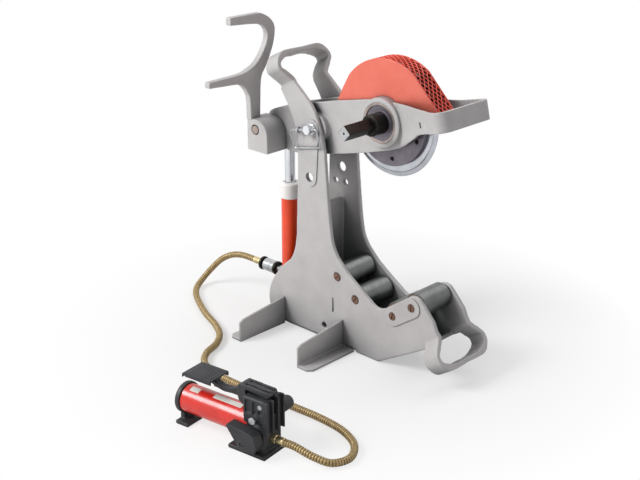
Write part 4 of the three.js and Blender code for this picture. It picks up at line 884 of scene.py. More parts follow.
@dataclass
class Arm:
    """The cast arm: two walls that flare into a loop, with its bosses, bearings and pins."""

    pivot: tuple[float, float] = Frame.pivot
    pitch: float = 14
    reach: float = 187
    side: float = 32
    wall: float = 6
    rear: float = 160
    loop: float = 388
    loop_side: float = 79
    band: float = 10
    corner: float = 24
    boss: float = 53
    boss_face: float = 44
    pin_r: float = 10.8
    pin_boss: float = 31
    pin_boss_face: float = 45.7
    pin_collar: float = 20
    bolt: tuple[float, float] = (-179.4, 470.3)
    bolt_r: float = 8.3
    rod_pin: tuple[float, float] = (-161.2, 467.6)
    rod_pin_r: float = 7
    bearing_r: float = 42.5
    bearing_bore: float = 23
    bearing_wall: float = 9.5
    bearing_y: float = 32
    ring_y: float = 42.9

    @property
    def place(self) -> Matrix:
        """The arm's own frame at rest."""
        here = Matrix.Translation((self.pivot[0], 0, self.pivot[1]))
        return here @ Matrix.Rotation(-math.radians(self.pitch), 4, "Y")

    def into(self, x: float, z: float) -> tuple[float, float]:
        """A place of the side view in the arm's own frame."""
        a = -math.radians(self.pitch)
        x, z = x - self.pivot[0], z - self.pivot[1]
        return x * math.cos(a) - z * math.sin(a), x * math.sin(a) + z * math.cos(a)

    def profile(self) -> Outline:
        """The side view's outline in the arm's own frame."""
        top = smooth([(-160, 27), (-152, 42), (-134, 48), (-96, 51), (0, 53)], 4)
        crown = [p for p in arc(self.reach, 0, self.boss, 112, 0, 14) if p[1] > 38]
        neck = smooth([(228, 38), (272, 30.5), (310, 22.5), (350, 18), (388, 17)], 4)
        chin = smooth([(388, -24), (303, -27.5), (272, -38), (233, -53), (206, -58.5), (175, -61), (78, -63),
                       (-80, -57), (-155, -31)], 5)
        return [*top, (62, 53), *crown, *neck, *chin]

    def plan(self, inset: float, front: float, rear: float) -> Outline:
        """The plan view's outline, drawn in by an inset."""
        side, wide, corner = self.side - inset, self.loop_side - inset, self.corner - inset
        start, end = self.reach + self.boss / 2, self.loop
        right = [(rear, side), *smooth([(start - 24, side), (start, side + 0.5), (start + 24, side + 4),
                                        (end - 70, wide - 19), (end - 48, wide - 8)], 5),
                 *arc(front - corner, wide - corner, corner, 90, 0, 10)]
        return right + [(x, -y) for x, y in right[::-1]]

    def build(self) -> None:
        """Cast the arm and fit its bearings, snap rings and rod pin."""
        walls, shape = Solid(), Solid()
        walls.prism(self.plan(0, self.loop, -self.rear), -130, 130,
                    [self.plan(self.wall, self.loop - self.band, -self.rear + 58)], PLAN_VIEW)
        shape.prism(self.profile(), -90, 90)
        s = walls.carve(shape, "INTERSECT", "MANIFOLD")
        pin_hole = circle(0, 0, self.pin_r, 30)
        for _, side in SIDES:
            s.prism(circle(self.reach, 0, self.boss - 0.8, 72), 20 * side, (self.boss_face - 1) * side,
                    [circle(self.reach, 0, 37.5, 60)])
            s.prism(circle(0, 0, self.pin_boss, 48), 26 * side, self.pin_boss_face * side, [pin_hole])
        s.prism(circle(0, 0, self.pin_collar, 48), -46, -44, [pin_hole])
        tools = Solid()
        bolt, pin = self.into(*self.bolt), self.into(*self.rod_pin)
        for low, high in ((22.2, 90), (-90, -22.2)):
            tools.prism(circle(self.reach, 0, self.bearing_r + 0.3, 60), low, high)
        tools.prism(circle(*bolt, self.bolt_r, 24), -60, -16)
        tools.prism(pin_hole, -60, 60)
        tools.block((-163, -13, -120), (-99, 13, pin[1] + 19.4))  # the way of the rod's eye
        tools.block((303.8, -90, -14.5), (308.4, 0, -2))  # the short slot in the near wall
        Piece("arm_body", "frame_paint", "arm", ["arm_casting"]).cast(s.carve(tools), 1.3, where=self.place)
        self.bosses()
        self.bearings()
        s = Solid()
        s.bar(self.rod_pin_r, -25.7, 25.7, Axis.Y, (pin[0], 0, pin[1]))
        Piece("arm_rod_pin", "steel", "arm", ["rod_pin"]).finish(s, self.place)

    def bosses(self) -> None:
        """Cast the round rims that hold the bearings."""
        r, face, bore = self.boss, self.boss_face, self.bearing_r + 0.3
        rim = [(bore, 24), (bore, face - 0.6), (bore + 0.6, face), (r - 5.5, face), (r - 3.2, face - 0.5),
               (r - 1.4, face - 1.7), (r - 0.4, face - 3.6), (r, face - 6), (r, 24), (bore, 24)]
        for name, side in SIDES:
            Piece(f"arm_boss_{name}_rim", "frame_paint", "arm", angle=30).turn(
                Axis.Y, (self.reach, 0, 0), (96, [(radius, side * reach) for radius, reach in rim]), where=self.place)

    def bearings(self) -> None:
        """Turn the two bearings and bend their snap rings."""
        r, b, w = self.bearing_r, self.bearing_bore, self.bearing_wall
        for name, side in SIDES:
            at = (self.reach, side * self.bearing_y, 0)
            Piece(f"bearing_{name}_outer_ring", "steel", "arm", [f"bearing_{name}"]).turn(Axis.Y, at, (
                96, mirrored([(r - 4.4, -w), (r - 0.6, -w), (r, -w + 0.6)])), where=self.place)
            Piece(f"bearing_{name}_seal", "hub_metal", "arm").turn(Axis.Y, at, (
                96, mirrored([(b, -w + 0.6), (b + 0.6, -w), (b + 4.4, -w), (b + 5, -w + 0.6), (b + 5, -w + 1),
                              (b + 7, -w + 0.7), (r - 4.5, -w + 0.7)])), where=self.place)
            s = Solid()
            y = side * self.ring_y
            s.prism(arc(self.reach, 0, r, 186, 534, 60) + arc(self.reach, 0, r - 4, 534, 186, 60), y - 1.1, y + 1.1)
            for degrees in (190, 170):
                eye = polar(self.reach, 0, r - 6, degrees)
                s.prism(circle(*eye, 3.4, 16), y - 1.05, y + 1.05, [circle(*eye, 1.3, 12)])
            Piece(f"snap_ring_{name}_spring", "bolt_face", "arm", [f"snap_ring_{name}"], Edge.SPRING).finish(
                s, self.place)


@dataclass
class Wheel:
    """The cutter wheel between its hub plates, on the driven shaft."""

    radius: float = 122
    hub: float = 98
    wall: float = 9
    plate: float = 9
    gap: float = 0.3
    collar: float = 26.5
    screw_circle: float = 82
    square: float = 11.9
    square_corner: float = 1.6
    square_turn: float = 34
    square_end: float = -151
    arm: Arm = field(default_factory=Arm)

    @property
    def place(self) -> Matrix:
        """The wheel's own frame at rest."""
        return self.arm.place @ Matrix.Translation((self.arm.reach, 0, 0))

    def build(self) -> None:
        """Make the wheel, plates, screws and shaft."""
        w, r, bore = self.wall / 2, self.radius, self.collar + self.gap
        band = self.hub + (r - self.hub) * 0.62
        Piece("cutter_wheel_ground", "wheel_edge", "wheel", ["cutter_wheel"], angle=8).turn(Axis.Y, (0, 0, 0), (
            144, mirrored([(bore, -w), (band - 2, -w), (band - 0.8, -w * 0.86), (band, -w * 0.5), (r - 0.5, -0.5),
                           (r, 0)])), where=self.place)
        screws = [polar(0, 0, self.screw_circle, 24 + 60 * i) for i in range(6)]
        start = w + self.gap
        face = start + self.plate
        for name, side in SIDES:
            s = Solid()
            s.prism(circle(0, 0, self.hub, 144), side * start, side * face,
                    [circle(0, 0, bore, 48)] + [circle(*p, 5.2, 24) for p in screws])
            Piece(f"hub_plate_{name}_disc", "hub_metal", "wheel", [f"hub_plate_{name}"], Edge.PLATE).finish(
                s, self.place)
        for i, (x, z) in enumerate(screws, 1):
            s = Solid()
            for _, side in SIDES:
                s.prism(circle(x, z, 5.0, 28), side * (face - 5), side * (face - 1.4), [circle(x, z, 2.6, 6)])
                s.prism(circle(x, z, 4.6, 28), side * (face - 7), side * (face - 4.5))
            s.bar(3.9, -face + 6, face - 6, at=(x, 0, z), sides=20)
            Piece(f"hub_screw_{i}_socket", "black_steel", "wheel", [f"hub_screw_{i}"], Edge.SOCKET).finish(
                s, self.place)
        self.shaft()

    def shaft(self) -> None:
        """Turn the shaft and mill its square end."""
        seat, end = 22.7, self.square_end
        inner = self.square - self.square_corner
        line = [p for k, (x, z) in enumerate(((1, 1), (-1, 1), (-1, -1), (1, -1)))
                for p in arc(x * inner, z * inner, self.square_corner, 90 * k, 90 * k + 90, 4)]
        turned = Matrix.Rotation(-math.radians(self.square_turn), 4, "Y")
        s = Solid()
        s.lathe([(0, -75), (seat - 2.2, -75), (seat - 0.6, -73.6), (seat, -72.4), (seat, -22), (self.collar, -22),
                 (self.collar, 22), (seat, 22), (seat, 40.8), (seat - 1, 41.8), (0, 41.8)], sides=72)
        made = s.prism(line, end, -70, [circle(0, 0, 2.4, 20)]) + s.prism(circle(0, 0, 2.5, 20), end + 5, -72)
        s.move(made, turned)
        Piece("drive_shaft_milled", "black_steel", "wheel", ["drive_shaft"], Edge.MILLED).finish(s, self.place)
        s = Solid()
        s.prism([(x * 0.95, z * 0.95) for x, z in line], end - 0.25, end + 1, [circle(0, 0, 2.6, 20)])
        Piece("drive_shaft_end_face", "steel", "wheel").finish(s, self.place @ turned)


@dataclass
class Guard:
    """The wheel's guard: two pressed sides, a plain band and one of expanded metal."""

    radius: float = 131
    side: float = 25.6
    wall: float = 1.6
    rows: int = 12
    columns: int = 4
    strand: float = 2.3
    edging: float = 1.3
    split: int = 7
    steps: int = 12
    tail: tuple[float, float] = (334, 4)
    bottom: float = 45
    arm: Arm = field(default_factory=Arm)

    def rim(self, inset: float) -> Outline:
        """The guard's outer line at a depth inside it."""
        start, end = (math.degrees(math.acos(share)) for share in (-0.61, 0.74))
        over = arc(self.arm.reach, 0, self.radius - inset, start, end, self.steps * 4)
        rear = self.arm.reach - self.radius + inset
        first, last = over[0], over[-1]
        slope = Vector((self.tail[0] - last[0], self.tail[1] - last[1])).normalized()
        middle = ((rear + first[0]) / 2 - 2, (self.bottom + first[1]) / 2)
        bent = smooth([(rear, self.bottom), middle, first])[:-1]
        return bent + over + [(self.tail[0] + slope.y * inset, self.tail[1] - slope.x * inset)]

    def build(self) -> None:
        """Press the sides and band, and weave the mesh."""
        s = Solid()
        line = self.rim(0)
        base = [(self.tail[0] - 9, self.tail[1] - 9), (self.arm.reach + 62, self.bottom - 27)]
        outline = line + base + arc(self.arm.reach, 0, self.arm.boss + 0.6, 18, 122, 30)
        for low in (-self.side, self.side - self.wall):
            s.prism(outline, low, low + self.wall)
        cut = self.split * 4 + 4
        s.prism(line[:cut] + self.rim(self.wall)[:cut][::-1], -self.side + 0.4, self.side - 0.4)
        Piece("guard_pressed", "guard_paint", "arm", ["guard_shell"], Edge.PRESSED).finish(s, self.arm.place)
        self.weave(Line([Vector((x, 0, z)) for x, z in self.rim(self.wall * 0.6)[cut - 1:]]))

    def weave(self, line: Line) -> None:
        """Run expanded-metal strands between two edge strips along a line."""
        def at(distance: float, y: float) -> Vector:
            return line.at(distance) + Vector((0, y, 0))

        s = Solid()
        half, start, total = self.side - self.wall - 0.3, 1.5, line.length - 3
        pitch, wide = total / self.rows, 2 * half / self.columns
        for column in range(self.columns + 1):
            for sign in (-1, 1):
                path = []
                for step in range(self.rows * 2 + 1):
                    y = -half + column * wide + wide / 2 * (step % 2) * sign
                    path.append(at(start + step * pitch / 2, max(-half, min(half, y))))
                s.tube(path, self.strand * 0.62, 6)
        for y in (-half + 0.4, half - 0.4):
            s.tube([at(start + total * k / 40, y) for k in range(41)], self.edging, 8)
        for distance in (start, total):
            s.tube([at(distance, y) for y in (-half, half)], self.edging, 8)
        Piece("guard_expanded_metal", "mesh_paint", "arm", ["guard_mesh"]).finish(s, self.arm.place)


@dataclass
class Yoke:
    """The pipe rest: a block that turns on the arm's bolt, and a fork above it."""

    x: float = -205
    z: float = 420
    length: float = 64
    height: float = 74
    corner: float = 36
    near: float = -92.3
    span: float = 188
    rise: float = 226
    plate: float = 16
    bolt: tuple[float, float] = Arm.bolt
    bolt_r: float = Arm.bolt_r
    stem: tuple = ((0.74, 0), (0.75, 0.2), (0.758, 0.34), (0.782, 0.43), (0.846, 0.505), (0.91, 0.6), (0.965, 0.7),
                   (0.997, 0.8), (0.997, 0.89), (0.93, 0.97), (0.8, 1.03), (0.7, 1.04), (0.3, 1.04))
    throat: tuple = ((0.3, 0.965), (0.56, 0.95), (0.72, 0.935), (0.82, 0.905), (0.872, 0.852), (0.878, 0.785),
                     (0.838, 0.705), (0.768, 0.618), (0.69, 0.555), (0.596, 0.515), (0.42, 0.478), (-0.045, 0.468))
    lower: tuple = ((-0.045, 0.408), (0.2, 0.396), (0.4, 0.384), (0.485, 0.348), (0.552, 0.275), (0.58, 0.2),
                    (0.586, 0))

    def build(self) -> None:
        """Cast the rest and turn its bolt."""
        s = Solid()
        start = self.near - self.span + self.span * 0.388 + 3
        x1, z1, r = self.x + self.length, self.z + self.height, self.corner
        line = [(start + a * self.span, z1 - 3 + b * self.rise)
                for a, b in (*smooth(self.stem, 4), *smooth(self.throat, 4), *smooth(self.lower, 4))]
        s.prism(line, self.x, self.x + self.plate, basis=FRONT_VIEW)
        block = [(self.x, self.z), (x1, self.z), *arc(x1 - r, z1 - r, r, 0, 90, 12), (self.x, z1)]
        s.prism(block, self.near, -32.3, [circle(*self.bolt, 11.6, 40)])
        Piece("yoke_body", "frame_paint", "yoke", ["support_yoke"], Edge.CAST).finish(s)
        s = Solid()
        s.prism(circle(*self.bolt, 12.5, 32), self.near + 3, -34, [circle(*self.bolt, self.bolt_r, 24)])
        Piece("yoke_bore_wall", "black_steel", "yoke").finish(s)
        s = Solid()
        s.bar(8, self.near + 0.8, -16.4, at=(self.bolt[0], 0, self.bolt[1]), sides=32)
        s.prism(circle(*self.bolt, 9.4, 32), self.near + 0.3, self.near + 2.6)
        Piece("yoke_bolt_turned", "bolt_face", "arm", ["yoke_bolt"], Edge.TURNED).finish(s)


@dataclass
class Cylinder:
    """The hydraulic cylinder, its collar, rod, spring and foot bolt."""

    x: float = -162.6
    radius: float = 21
    low: float = 9.3
    high: float = 293
    bore: float = 17
    port: float = 99
    pin_z: float = Arm.rod_pin[1]
    coil: float = 14.6
    wire: float = 1.7
    turns: int = 21
    spring: tuple[float, float] = (70.6, 291.5)

    def build(self) -> None:
        """Make the cylinder's pieces."""
        r, low, high, bore, at = self.radius, self.low, self.high, self.bore, (self.x, 0, 0)
        s = Solid()
        s.lathe([(0, low), (r - 1, low), (r, low + 1), (r, high - 1), (r - 1, high), (bore, high), (bore, 50), (0, 50)],
                Axis.Z, at, 72)
        s.lathe([(8.4, 3 - r), (12.5, 3 - r), (12.5, -r - 1.2), (11.8, -r - 1.8), (8.4, -r - 1.8), (8.4, 3 - r)],
                Axis.X, (self.x, 0, self.port), 40)
        Piece("cylinder_tube", "cylinder_paint", "frame", ["cylinder_body"]).finish(s)
        s = Solid()
        s.bar(6, 0.3, 31, Axis.Z, at)
        s.lathe([(0, 0.3), (9, 0.3), (9, 4.3), (0, 4.3)], Axis.Z, at, 6)
        Piece("cylinder_foot_bolt", "steel", "frame", ["cylinder_bolt"]).finish(s)
        Piece("cylinder_collar_ring", "collar_paint", "frame", ["cylinder_collar"]).turn(Axis.Z, at, (
            72, [(12.4, 293.3), (23, 293.3), (24, 294.3), (24, 326), (22.8, 328.6), (20, 331), (15.6, 331.3),
                 (15, 330), (14.8, 327), (12.4, 327), (12.4, 293.3)]))
        s = Solid()
        s.bar(12, 52.3, self.pin_z - 8, Axis.Z, at)
        s.bar(16.6, 52.3, 68.3, Axis.Z, at)
        s.prism(circle(self.x, self.pin_z, 14, 40), -12, 12, [circle(self.x, self.pin_z, 9.4, 28)])
        Piece("cylinder_rod", "chrome", "ram", ["piston_rod"], Edge.PRESSED).finish(s)
        s = Solid()
        (first, last), steps = self.spring, self.turns * 16
        s.tube([(*polar(self.x, 0, self.coil, k * 22.5), first + (last - first) * k / steps)
                for k in range(steps + 1)], self.wire, 8)
        spring = Piece("cylinder_return_spring", "steel", "frame", ["return_spring"]).finish(s)
        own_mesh(spring)


@dataclass
class Coupler:
    """The quick coupler on the cylinder's port: nipple, body, sleeve and hose ferrule."""

    port: float = Cylinder.port
    radius: float = 15.5

    def build(self) -> None:
        """Turn its four pieces."""
        at, r, b = (0, 0, self.port), self.radius, self.radius + 1
        Piece("coupler_nipple_turned", "steel", "frame", ["coupler_nipple"]).turn(Axis.X, at, (
            40, [(4.4, -232), (7.7, -232), (7.7, -206), (8, -205.6), (8, -196), (10, -195.5), (10, -190),
                 (8, -189.5), (8, -180.6), (4.4, -180.6), (4.4, -232)]), (
            6, [(7.5, -195), (11.5, -195), (11.5, -188.5), (7.5, -188.5), (7.5, -195)]))
        Piece("coupler_core", "black_steel", "frame", ["coupler_body"]).turn(Axis.X, at, (
            64, [(8.3, -205.6), (b - 1, -205.6), (b, -206.6), (b, -211.6), (b - 1, -212.6), (9.5, -212.6),
                 (9.5, -252.6), (b - 1, -252.6), (b, -253.6), (b, -258.6), (b - 1, -259.6), (4.4, -259.6),
                 (4.4, -232.6), (8.3, -232.6), (8.3, -205.6)]))
        Piece("coupler_sleeve_turned", "steel", "sleeve", ["coupler_sleeve"]).turn(Axis.X, at, (
            72, [(9.8, -212.9), (r - 1, -212.9), (r, -213.9), (r, -222), (r - 0.8, -222.8), (r - 0.8, -225),
                 (r, -225.8), (r, -246.2), (r - 1, -247.2), (9.8, -247.2), (9.8, -212.9)]))
        Piece("hose_ferrule_crimped", "brass", "frame", ["hose_ferrule"]).turn(Axis.X, at, (
            48, [(4.4, -259.9), (9, -259.9), (9.4, -260.4), (9.4, -266.5), (8.4, -267.9), (8.4, -272),
                 (7.9, -272.5), (7.9, -274), (8.4, -274.5), (8.4, -279), (7.9, -279.5), (7.9, -281), (8.4, -281.5),
                 (8.4, -287.3), (8, -287.9), (4.4, -287.9), (4.4, -259.9)]))


@dataclass
class Hose:
    """The ribbed hose from the coupler, over the floor, to the pump."""

    radius: float = 7.8
    rib: float = 5.6
    depth: float = 1.15
    sides: int = 16
    shares: tuple = (0.0, 0.04, 0.45, 1.0, 0.45, 0.04)
    start: tuple = (-288.212, 0.0, 99.0)
    end: tuple = (292.75, -471.83, 30.0)
    turn: float = 8
    sag: tuple = ((-340, -1, 97), (-374, -4, 87), (-404, -10, 68), (-426, -22, 42), (-436, -42, 19))
    floor: tuple = ((-424, -74), (-390, -107), (-340, -138), (-285, -166), (-225, -190), (-178, -218), (-147, -256),
                    (-130, -298), (-100, -332), (-50, -350), (20, -352), (100, -345), (180, -337), (256, -332),
                    (322, -338), (372, -362), (396, -402))
    rise: tuple = ((386, -442, 12), (356, -460, 21))

    def route(self) -> list[Vector]:
        """The hose's centreline, evenly and finely spaced, in millimetres."""
        lead = self.radius * 3
        first, last = Vector(self.start), Vector(self.end)
        knots = [first, first - Vector((lead, 0, 0)), *map(Vector, self.sag),
                 *(Vector((x, y, self.radius + 0.6)) for x, y in self.floor), *map(Vector, self.rise),
                 last + Vector((*polar(0, 0, 1, self.turn), 0)) * lead, last]
        line = Line(self.run(knots, 60))
        count = round(line.length / self.rib) * len(self.shares)
        return [line.at(line.length * i / count) for i in range(count + 1)]

    @staticmethod
    def run(knots: Sequence[Vector], steps: int) -> list[Vector]:
        """A centripetal Catmull-Rom curve through knots."""
        ends = [knots[0] * 2 - knots[1], *knots, knots[-1] * 2 - knots[-2]]
        out = []
        for p0, p1, p2, p3 in zip(ends, ends[1:], ends[2:], ends[3:]):
            d0, d1, d2 = ((b - a).length ** 0.5 for a, b in ((p0, p1), (p1, p2), (p2, p3)))
            leave = ((p1 - p0) / d0 - (p2 - p0) / (d0 + d1) + (p2 - p1) / d1) * d1
            arrive = ((p2 - p1) / d1 - (p3 - p1) / (d1 + d2) + (p3 - p2) / d2) * d1
            out += [hermite(p1, p2, leave, arrive, k / steps) for k in range(steps)]
        return out + [knots[-1]]

    def build(self) -> None:
        path = self.route()
        deep = [self.shares[i % len(self.shares)] for i in range(len(path))]
        s = Solid()
        s.tube(path, lambda i: self.radius - self.depth * deep[i], self.sides)
        hose = Piece("hose_ribbed", "hose_cover", "frame", ["hose"], angle=75).finish(s)
        layer = hose.data.attributes.new("groove", "FLOAT", "POINT")
        layer.data.foreach_set("value", [share for share in deep for _ in range(self.sides)])
        line = [p * MM for p in path]
        Line(line).length


@dataclass
class Pump:
    """The foot pump: tank, cap, head, treadle, plunger, release pedal and fittings."""

    place: tuple[float, float] = (135, -494)
    turn: float = 8
    radius: float = 29
    axis: float = 50
    back: float = 80
    front: float = 132
    half: float = 27
    top: float = 118
    pin: tuple[float, float] = (121.6, 104)
    pin_hole: float = 5.3
    stub: tuple[float, float] = (97.7, 29.8)
    valve: tuple[float, float] = (117.7, 75.5)
    screw: tuple[float, float] = (112.2, 77.9)
    lever: float = 150
    outlet: float = 30

    @property
    def here(self) -> Matrix:
        """The pump's own frame on the floor."""
        return Matrix.Translation((*self.place, 0)) @ Matrix.Rotation(math.radians(self.turn), 4, "Z")

    def add(self, name: str, s: Solid, slot: str, body: str, node: str, edge: Edge = Edge.DRAWN) -> None:
        """Finish a piece on the floor."""
        Piece(name, slot, body, [node], edge).finish(s, self.here)

    def melt(self, name: str, s: Solid, body: str, node: str, voxel: float, rounds: int = 3) -> None:
        """Cast a piece on the floor."""
        Piece(name, "pump_black", body, [node]).cast(s, voxel, 0.4, rounds, self.here)

    def build(self) -> None:
        """Make the pump's pieces."""
        self.tank()
        self.head()
        s = Solid()
        s.bar(5, -self.half, self.half, at=(self.pin[0], 0, self.pin[1]))
        self.add("treadle_pin_turned", s, "steel", "frame", "treadle_pin")
        self.treadle()
        s = Solid()
        s.bar(7, 60.2, 99.9, Axis.Z, (99.6, 0, 0))
        self.add("plunger_turned", s, "steel", "plunger", "pump_plunger")
        self.pedal()
        self.fittings()

    def tank(self) -> None:
        """Draw the tank, lay its blank labels on and cast its end cap."""
        at, r, low = (0, 0, self.axis), self.radius, -92.3
        s = Solid()
        s.lathe([(r - 2.5, -80), (r - 0.6, -80), (r, -79.4), (r, 89.7), (r - 2.5, 89.7), (r - 2.5, -80)],
                Axis.X, at, 80)
        self.add("pump_tank_tube", s, "tank_paint", "frame", "pump_tank")
        for name, near, far, start, end in (("small", -66, -44, 92, 118), ("long", -8, 62, 88, 112)):
            s = Solid()
            s.prism(arc(0, self.axis, r + 0.35, start, end, 10) + arc(0, self.axis, r - 0.4, end, start, 10),
                    near, far, basis=FRONT_VIEW)
            Piece(f"pump_label_{name}", "label", "frame").finish(s, self.here)
        s = Solid()
        s.lathe([(0, low), (r - 2, low), (r + 2, low + 1), (r + 3.5, low + 3), (r + 3.5, -81.3), (r + 2.5, -80.3),
                 (r - 2.8, -80.3), (r - 2.8, -70), (0, -70)], Axis.X, at, 64)
        s.block((low, -30, 0), (low + 32, 30, 8), 1.2)
        s.block((low, -15, 5), (-80.5, 15, 36), 1.5)
        self.melt("pump_cap", s, "frame", "pump_end_cap", 1.2)

    def fittings(self) -> None:
        """Turn the valve's knob, the relief screw and the hose's fitting."""
        (x, z), (x1, z1) = self.valve, self.screw
        s = Solid()
        s.bar(9.8, 23.5, 37, at=(x, 0, z))
        s.lathe([(0, 27.3), (13, 27.3), (14, 28.3), (14, 40), (13.2, 40.8), (13.2, 43), (14, 43.8), (14, 66),
                 (12, 69.5), (8, 71), (0, 71)], Axis.Y, (x, 0, z), 48)
        self.add("valve_barrel_knob", s, "pump_black", "frame", "valve_barrel")
        s = Solid()
        s.bar(5.5, -34, -24, at=(x1, 0, z1))
        s.lathe([(0, -41), (7.2, -41), (8.2, -40), (8.2, -34), (7.2, -33), (0, -33)], Axis.Y, (x1, 0, z1), 6)
        self.add("relief_screw_head", s, "steel", "frame", "relief_screw", Edge.HEXAGON)
        s = Solid()
        at = (0, 0, self.outlet)
        s.bar(6, 127, 150, Axis.X, at)
        s.lathe([(4.4, 132.3), (9.6, 132.3), (10, 133), (10, 140.6), (9.6, 141.3), (4.4, 141.3), (4.4, 132.3)],
                Axis.X, at, 6)
        s.lathe([(4.4, 140.5), (8, 140.5), (8.4, 141), (8.4, 158.5), (8, 159), (4.4, 159), (4.4, 140.5)],
                Axis.X, at, 40)
        self.add("hose_fitting_turned", s, "brass", "frame", "hose_fitting", Edge.TURNED)

    def head(self) -> None:
        """Cast the slotted, finned head on its base."""
        back, front, half, top = self.back, self.front, self.half, self.top
        s = Solid()
        for low, high, edge in (((back, -half, 6), (front, -8, top), 4), ((back, 8, 6), (front, half, top), 4),
                                ((back, -12, 6), (front, 12, 46), 0), ((back + 28, -12, 6), (front, 12, 81), 0),
                                ((back, -12, 40), (back + 11, 12, 81), 0), ((51, -39, 0), (141, 39, 9), 2),
                                *(((129, y, 46), (141, y + 4, top), 1) for y in (-27, -10.4, 6.3, 23))):
            s.block(low, high, edge)
        s.bar(4, -54.5, -24, at=(self.stub[0], 0, self.stub[1]))
        cut = Solid()
        for low, high, foot, crown in ((86, 100, 84, 112), (104, 127, 60, 70), (104, 113, 84, 112), (118, 127, 88, 97)):
            cut.block((low, -30, foot), (high, -23, crown))
        cut.bar(self.radius + 0.3, 77, 90, Axis.X, (0, 0, self.axis), 0.1, 64)
        cut.bar(self.pin_hole, -40, 40, at=(self.pin[0], 0, self.pin[1]))
        self.melt("pump_head_casting", s.carve(cut), "frame", "pump_head", 1.1)

    def treadle(self) -> None:
        """Cast the cranked lever with its grooved body, and press its ridged pad."""
        (x, z), long = self.pin, self.lever
        upper = [(0, 0.5), (-0.22, 0.95), (-0.42, 0.9), (-0.56, 0.35), (-0.7, 0.2), (-0.84, 0.42), (-1, 0.8)]
        under = [(-1, 0.45), (-0.84, -0.1), (-0.7, -0.35), (-0.54, -0.25), (-0.38, -0.3), (-0.2, -0.2), (0, -0.5)]
        s = Solid()
        s.prism([(x + a * long, z + u * 18) for a, u in smooth(upper) + smooth(under)], -7, 7)
        s.prism(circle(x, z, 9.2, 32), -7, 7, [circle(x, z, self.pin_hole, 20)])
        body = [(x - 64, z + 3), (x - 60, z - 8), (x - 51, z - 14), (x - 43.5, z - 15), (x - 43.5, z + 20.5),
                (x + 9, z + 15.5), (x + 12, z + 20), (x + 9, z + 27), (x - 56, z + 29), (x - 63, z + 24)]
        groove = [(x - 48, z + 24), (x + 14, z + 21), (x + 14, z + 32), (x - 48, z + 32)]
        s.prism(body, -15, 15)
        cut = Solid()
        cut.prism(groove, -10, -4)
        cut.prism(groove, 4, 10)
        s = s.carve(cut)
        left, right, high = x - long - 43.7, x - long + 30.3, z + 12.6
        pad = [(left, high - 6), (left + 2.5, high - 6), (left + 4, high - 1), (left + 8, high + 1.5),
               (right, high + 1.5), (right, high + 5.5), (left + 6, high + 5.5), (left + 1, high + 2)]
        s.prism(pad, -28, 28)
        for start in (-28, 25):
            s.block((left + 8, start, high - 4), (right, start + 3, high + 3))
        for ridge in (left + 16 + i * 7 for i in range(8)):
            s.block((ridge, -24, high + 5), (ridge + 3, 24, high + 6.6))
        s.block((x - 132, -4, z - 6), (x - 120, 4, z + 14), 1)
        self.melt("treadle_lever_cast", s, "treadle_lever", "treadle", 1.0)

    def pedal(self) -> None:
        """Cast the leaning release pedal round its stub."""
        x, z = self.stub
        shares = [(-0.12, -0.4), (0.15, -0.42), (0.42, -0.4), (0.5, 0.1), (0.42, 0.9), (0.28, 1.05), (0.1, 1.15),
                  (-0.5, 1.3), (-0.54, 1.15), (-0.5, 1.0), (-0.3, 0.3)]
        hole = circle(x, z, 4.3, 20)
        s = Solid()
        s.prism([(x + a * 70, z + u * 26) for a, u in shares], -54.5, -30.5, [hole])
        s.prism(circle(x, z, 8, 28), -55.5, -50, [hole])
        self.melt("release_pedal_cast", s, "pedal", "release_pedal", 0.9, 4)


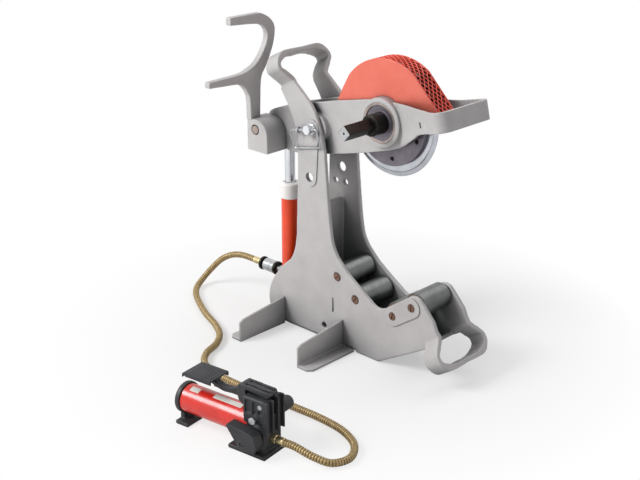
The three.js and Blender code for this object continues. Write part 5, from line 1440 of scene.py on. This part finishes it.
@dataclass
class Studio:
    """The camera, a pale floor and soft lamps."""

    location: tuple = (1.680, -1.8214, 1.2045)
    tilt: float = 68.5
    heading: float = 43.8
    lens: float = 66.2
    sensor: float = 36
    sky: float = 0.26
    floor_size: float = 12
    floor_z: float = -0.0006
    fade: tuple[float, float] = (0.3, 0.72)
    target: tuple = (0.05, -0.1, 0.25)
    lamps: tuple = (((-1.4, -2.5, 2.4), 1.5, 102), ((2.8, -0.6, 2.0), 2.0, 5), ((0.2, 1.8, 3.0), 2.4, 26))

    def build(self) -> None:
        """Make the camera, floor, lamps and world."""
        scene = bpy.context.scene
        scene.view_settings.view_transform = "Standard"
        camera = bpy.data.objects.new("camera", bpy.data.cameras.new("camera"))
        camera.location = self.location
        camera.rotation_euler = (math.radians(self.tilt), 0, math.radians(self.heading))
        camera.data.lens, camera.data.sensor_width = self.lens, self.sensor
        scene.collection.objects.link(camera)
        scene.camera = camera
        self.floor()
        for number, (place, size, power) in enumerate(self.lamps, 1):
            light = bpy.data.lights.new(f"lamp_{number}", "AREA")
            light.size, light.energy = size, power
            lamp = bpy.data.objects.new(f"lamp_{number}", light)
            lamp.location = place
            lamp.rotation_euler = (Vector(self.target) - Vector(place)).to_track_quat("-Z", "Y").to_euler()
            scene.collection.objects.link(lamp)
        self.world()

    def floor(self) -> None:
        """Lay the floor, fading to white, and keep it out of the object."""
        bm = bmesh.new()
        bmesh.ops.create_grid(bm, x_segments=1, y_segments=1, size=self.floor_size)
        mesh = bpy.data.meshes.new("floor")
        bm.to_mesh(mesh)
        bm.free()
        floor = bpy.data.objects.new("floor", mesh)
        floor.location = (0, 0, self.floor_z)
        bpy.context.scene.collection.objects.link(floor)
        f = Finish("Paper, matt white", "floor", Base_Color=(0.9, 0.9, 0.9, 1), Roughness=0.9)
        reach = f.add("ShaderNodeVectorMath", {0: f.place()}, operation="LENGTH").outputs["Value"]
        fade = f.span(reach, *self.fade, 0.45, 1.0)
        seen = f.add("ShaderNodeLightPath").outputs["Is Camera Ray"]
        share = f.add("ShaderNodeMath", {0: fade, 1: seen}, operation="MULTIPLY").outputs[0]
        glow = f.add("ShaderNodeEmission", Strength=1.0).outputs[0]
        mixed = f.add("ShaderNodeMixShader", {0: share, 1: f.shader.outputs[0], 2: glow}).outputs[0]
        f.tree.links.new(mixed, f.tree.nodes["Material Output"].inputs["Surface"])
        floor.data.materials.append(f.material)

    def world(self) -> None:
        """Light the scene softly, and show white behind it and in its reflections."""
        world = bpy.data.worlds.new("studio")
        world.use_nodes = True
        bpy.context.scene.world = world
        world.node_tree.nodes.clear()
        n = Nodes(world.node_tree)
        rays = n.add("ShaderNodeLightPath").outputs
        seen = rays["Is Camera Ray"]
        for name in ("Is Glossy Ray", "Is Transmission Ray"):
            seen = n.add("ShaderNodeMath", {0: seen, 1: rays[name]}, operation="MAXIMUM").outputs[0]
        soft, white = (n.add("ShaderNodeBackground", Color=(1, 1, 1, 1), Strength=strength).outputs[0]
                       for strength in (self.sky, 1.0))
        mix = n.add("ShaderNodeMixShader", {0: seen, 1: soft, 2: white}).outputs[0]
        n.add("ShaderNodeOutputWorld", {"Surface": mix})


def main() -> None:
    """Build every piece on the frame."""
    logging.basicConfig(level=logging.INFO, format="%(name)s: %(message)s")
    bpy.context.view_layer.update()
    Studio().build()
    for finish in FINISHES:
        finish.make()
    for group in (Hose, Frame, RollerBed, PivotPin, Arm, Wheel, Guard, Yoke, Cylinder, Coupler, Pump):
        group().build()
        LOG.info("%s done", group.__name__)


if __name__ == "__main__":
    main()
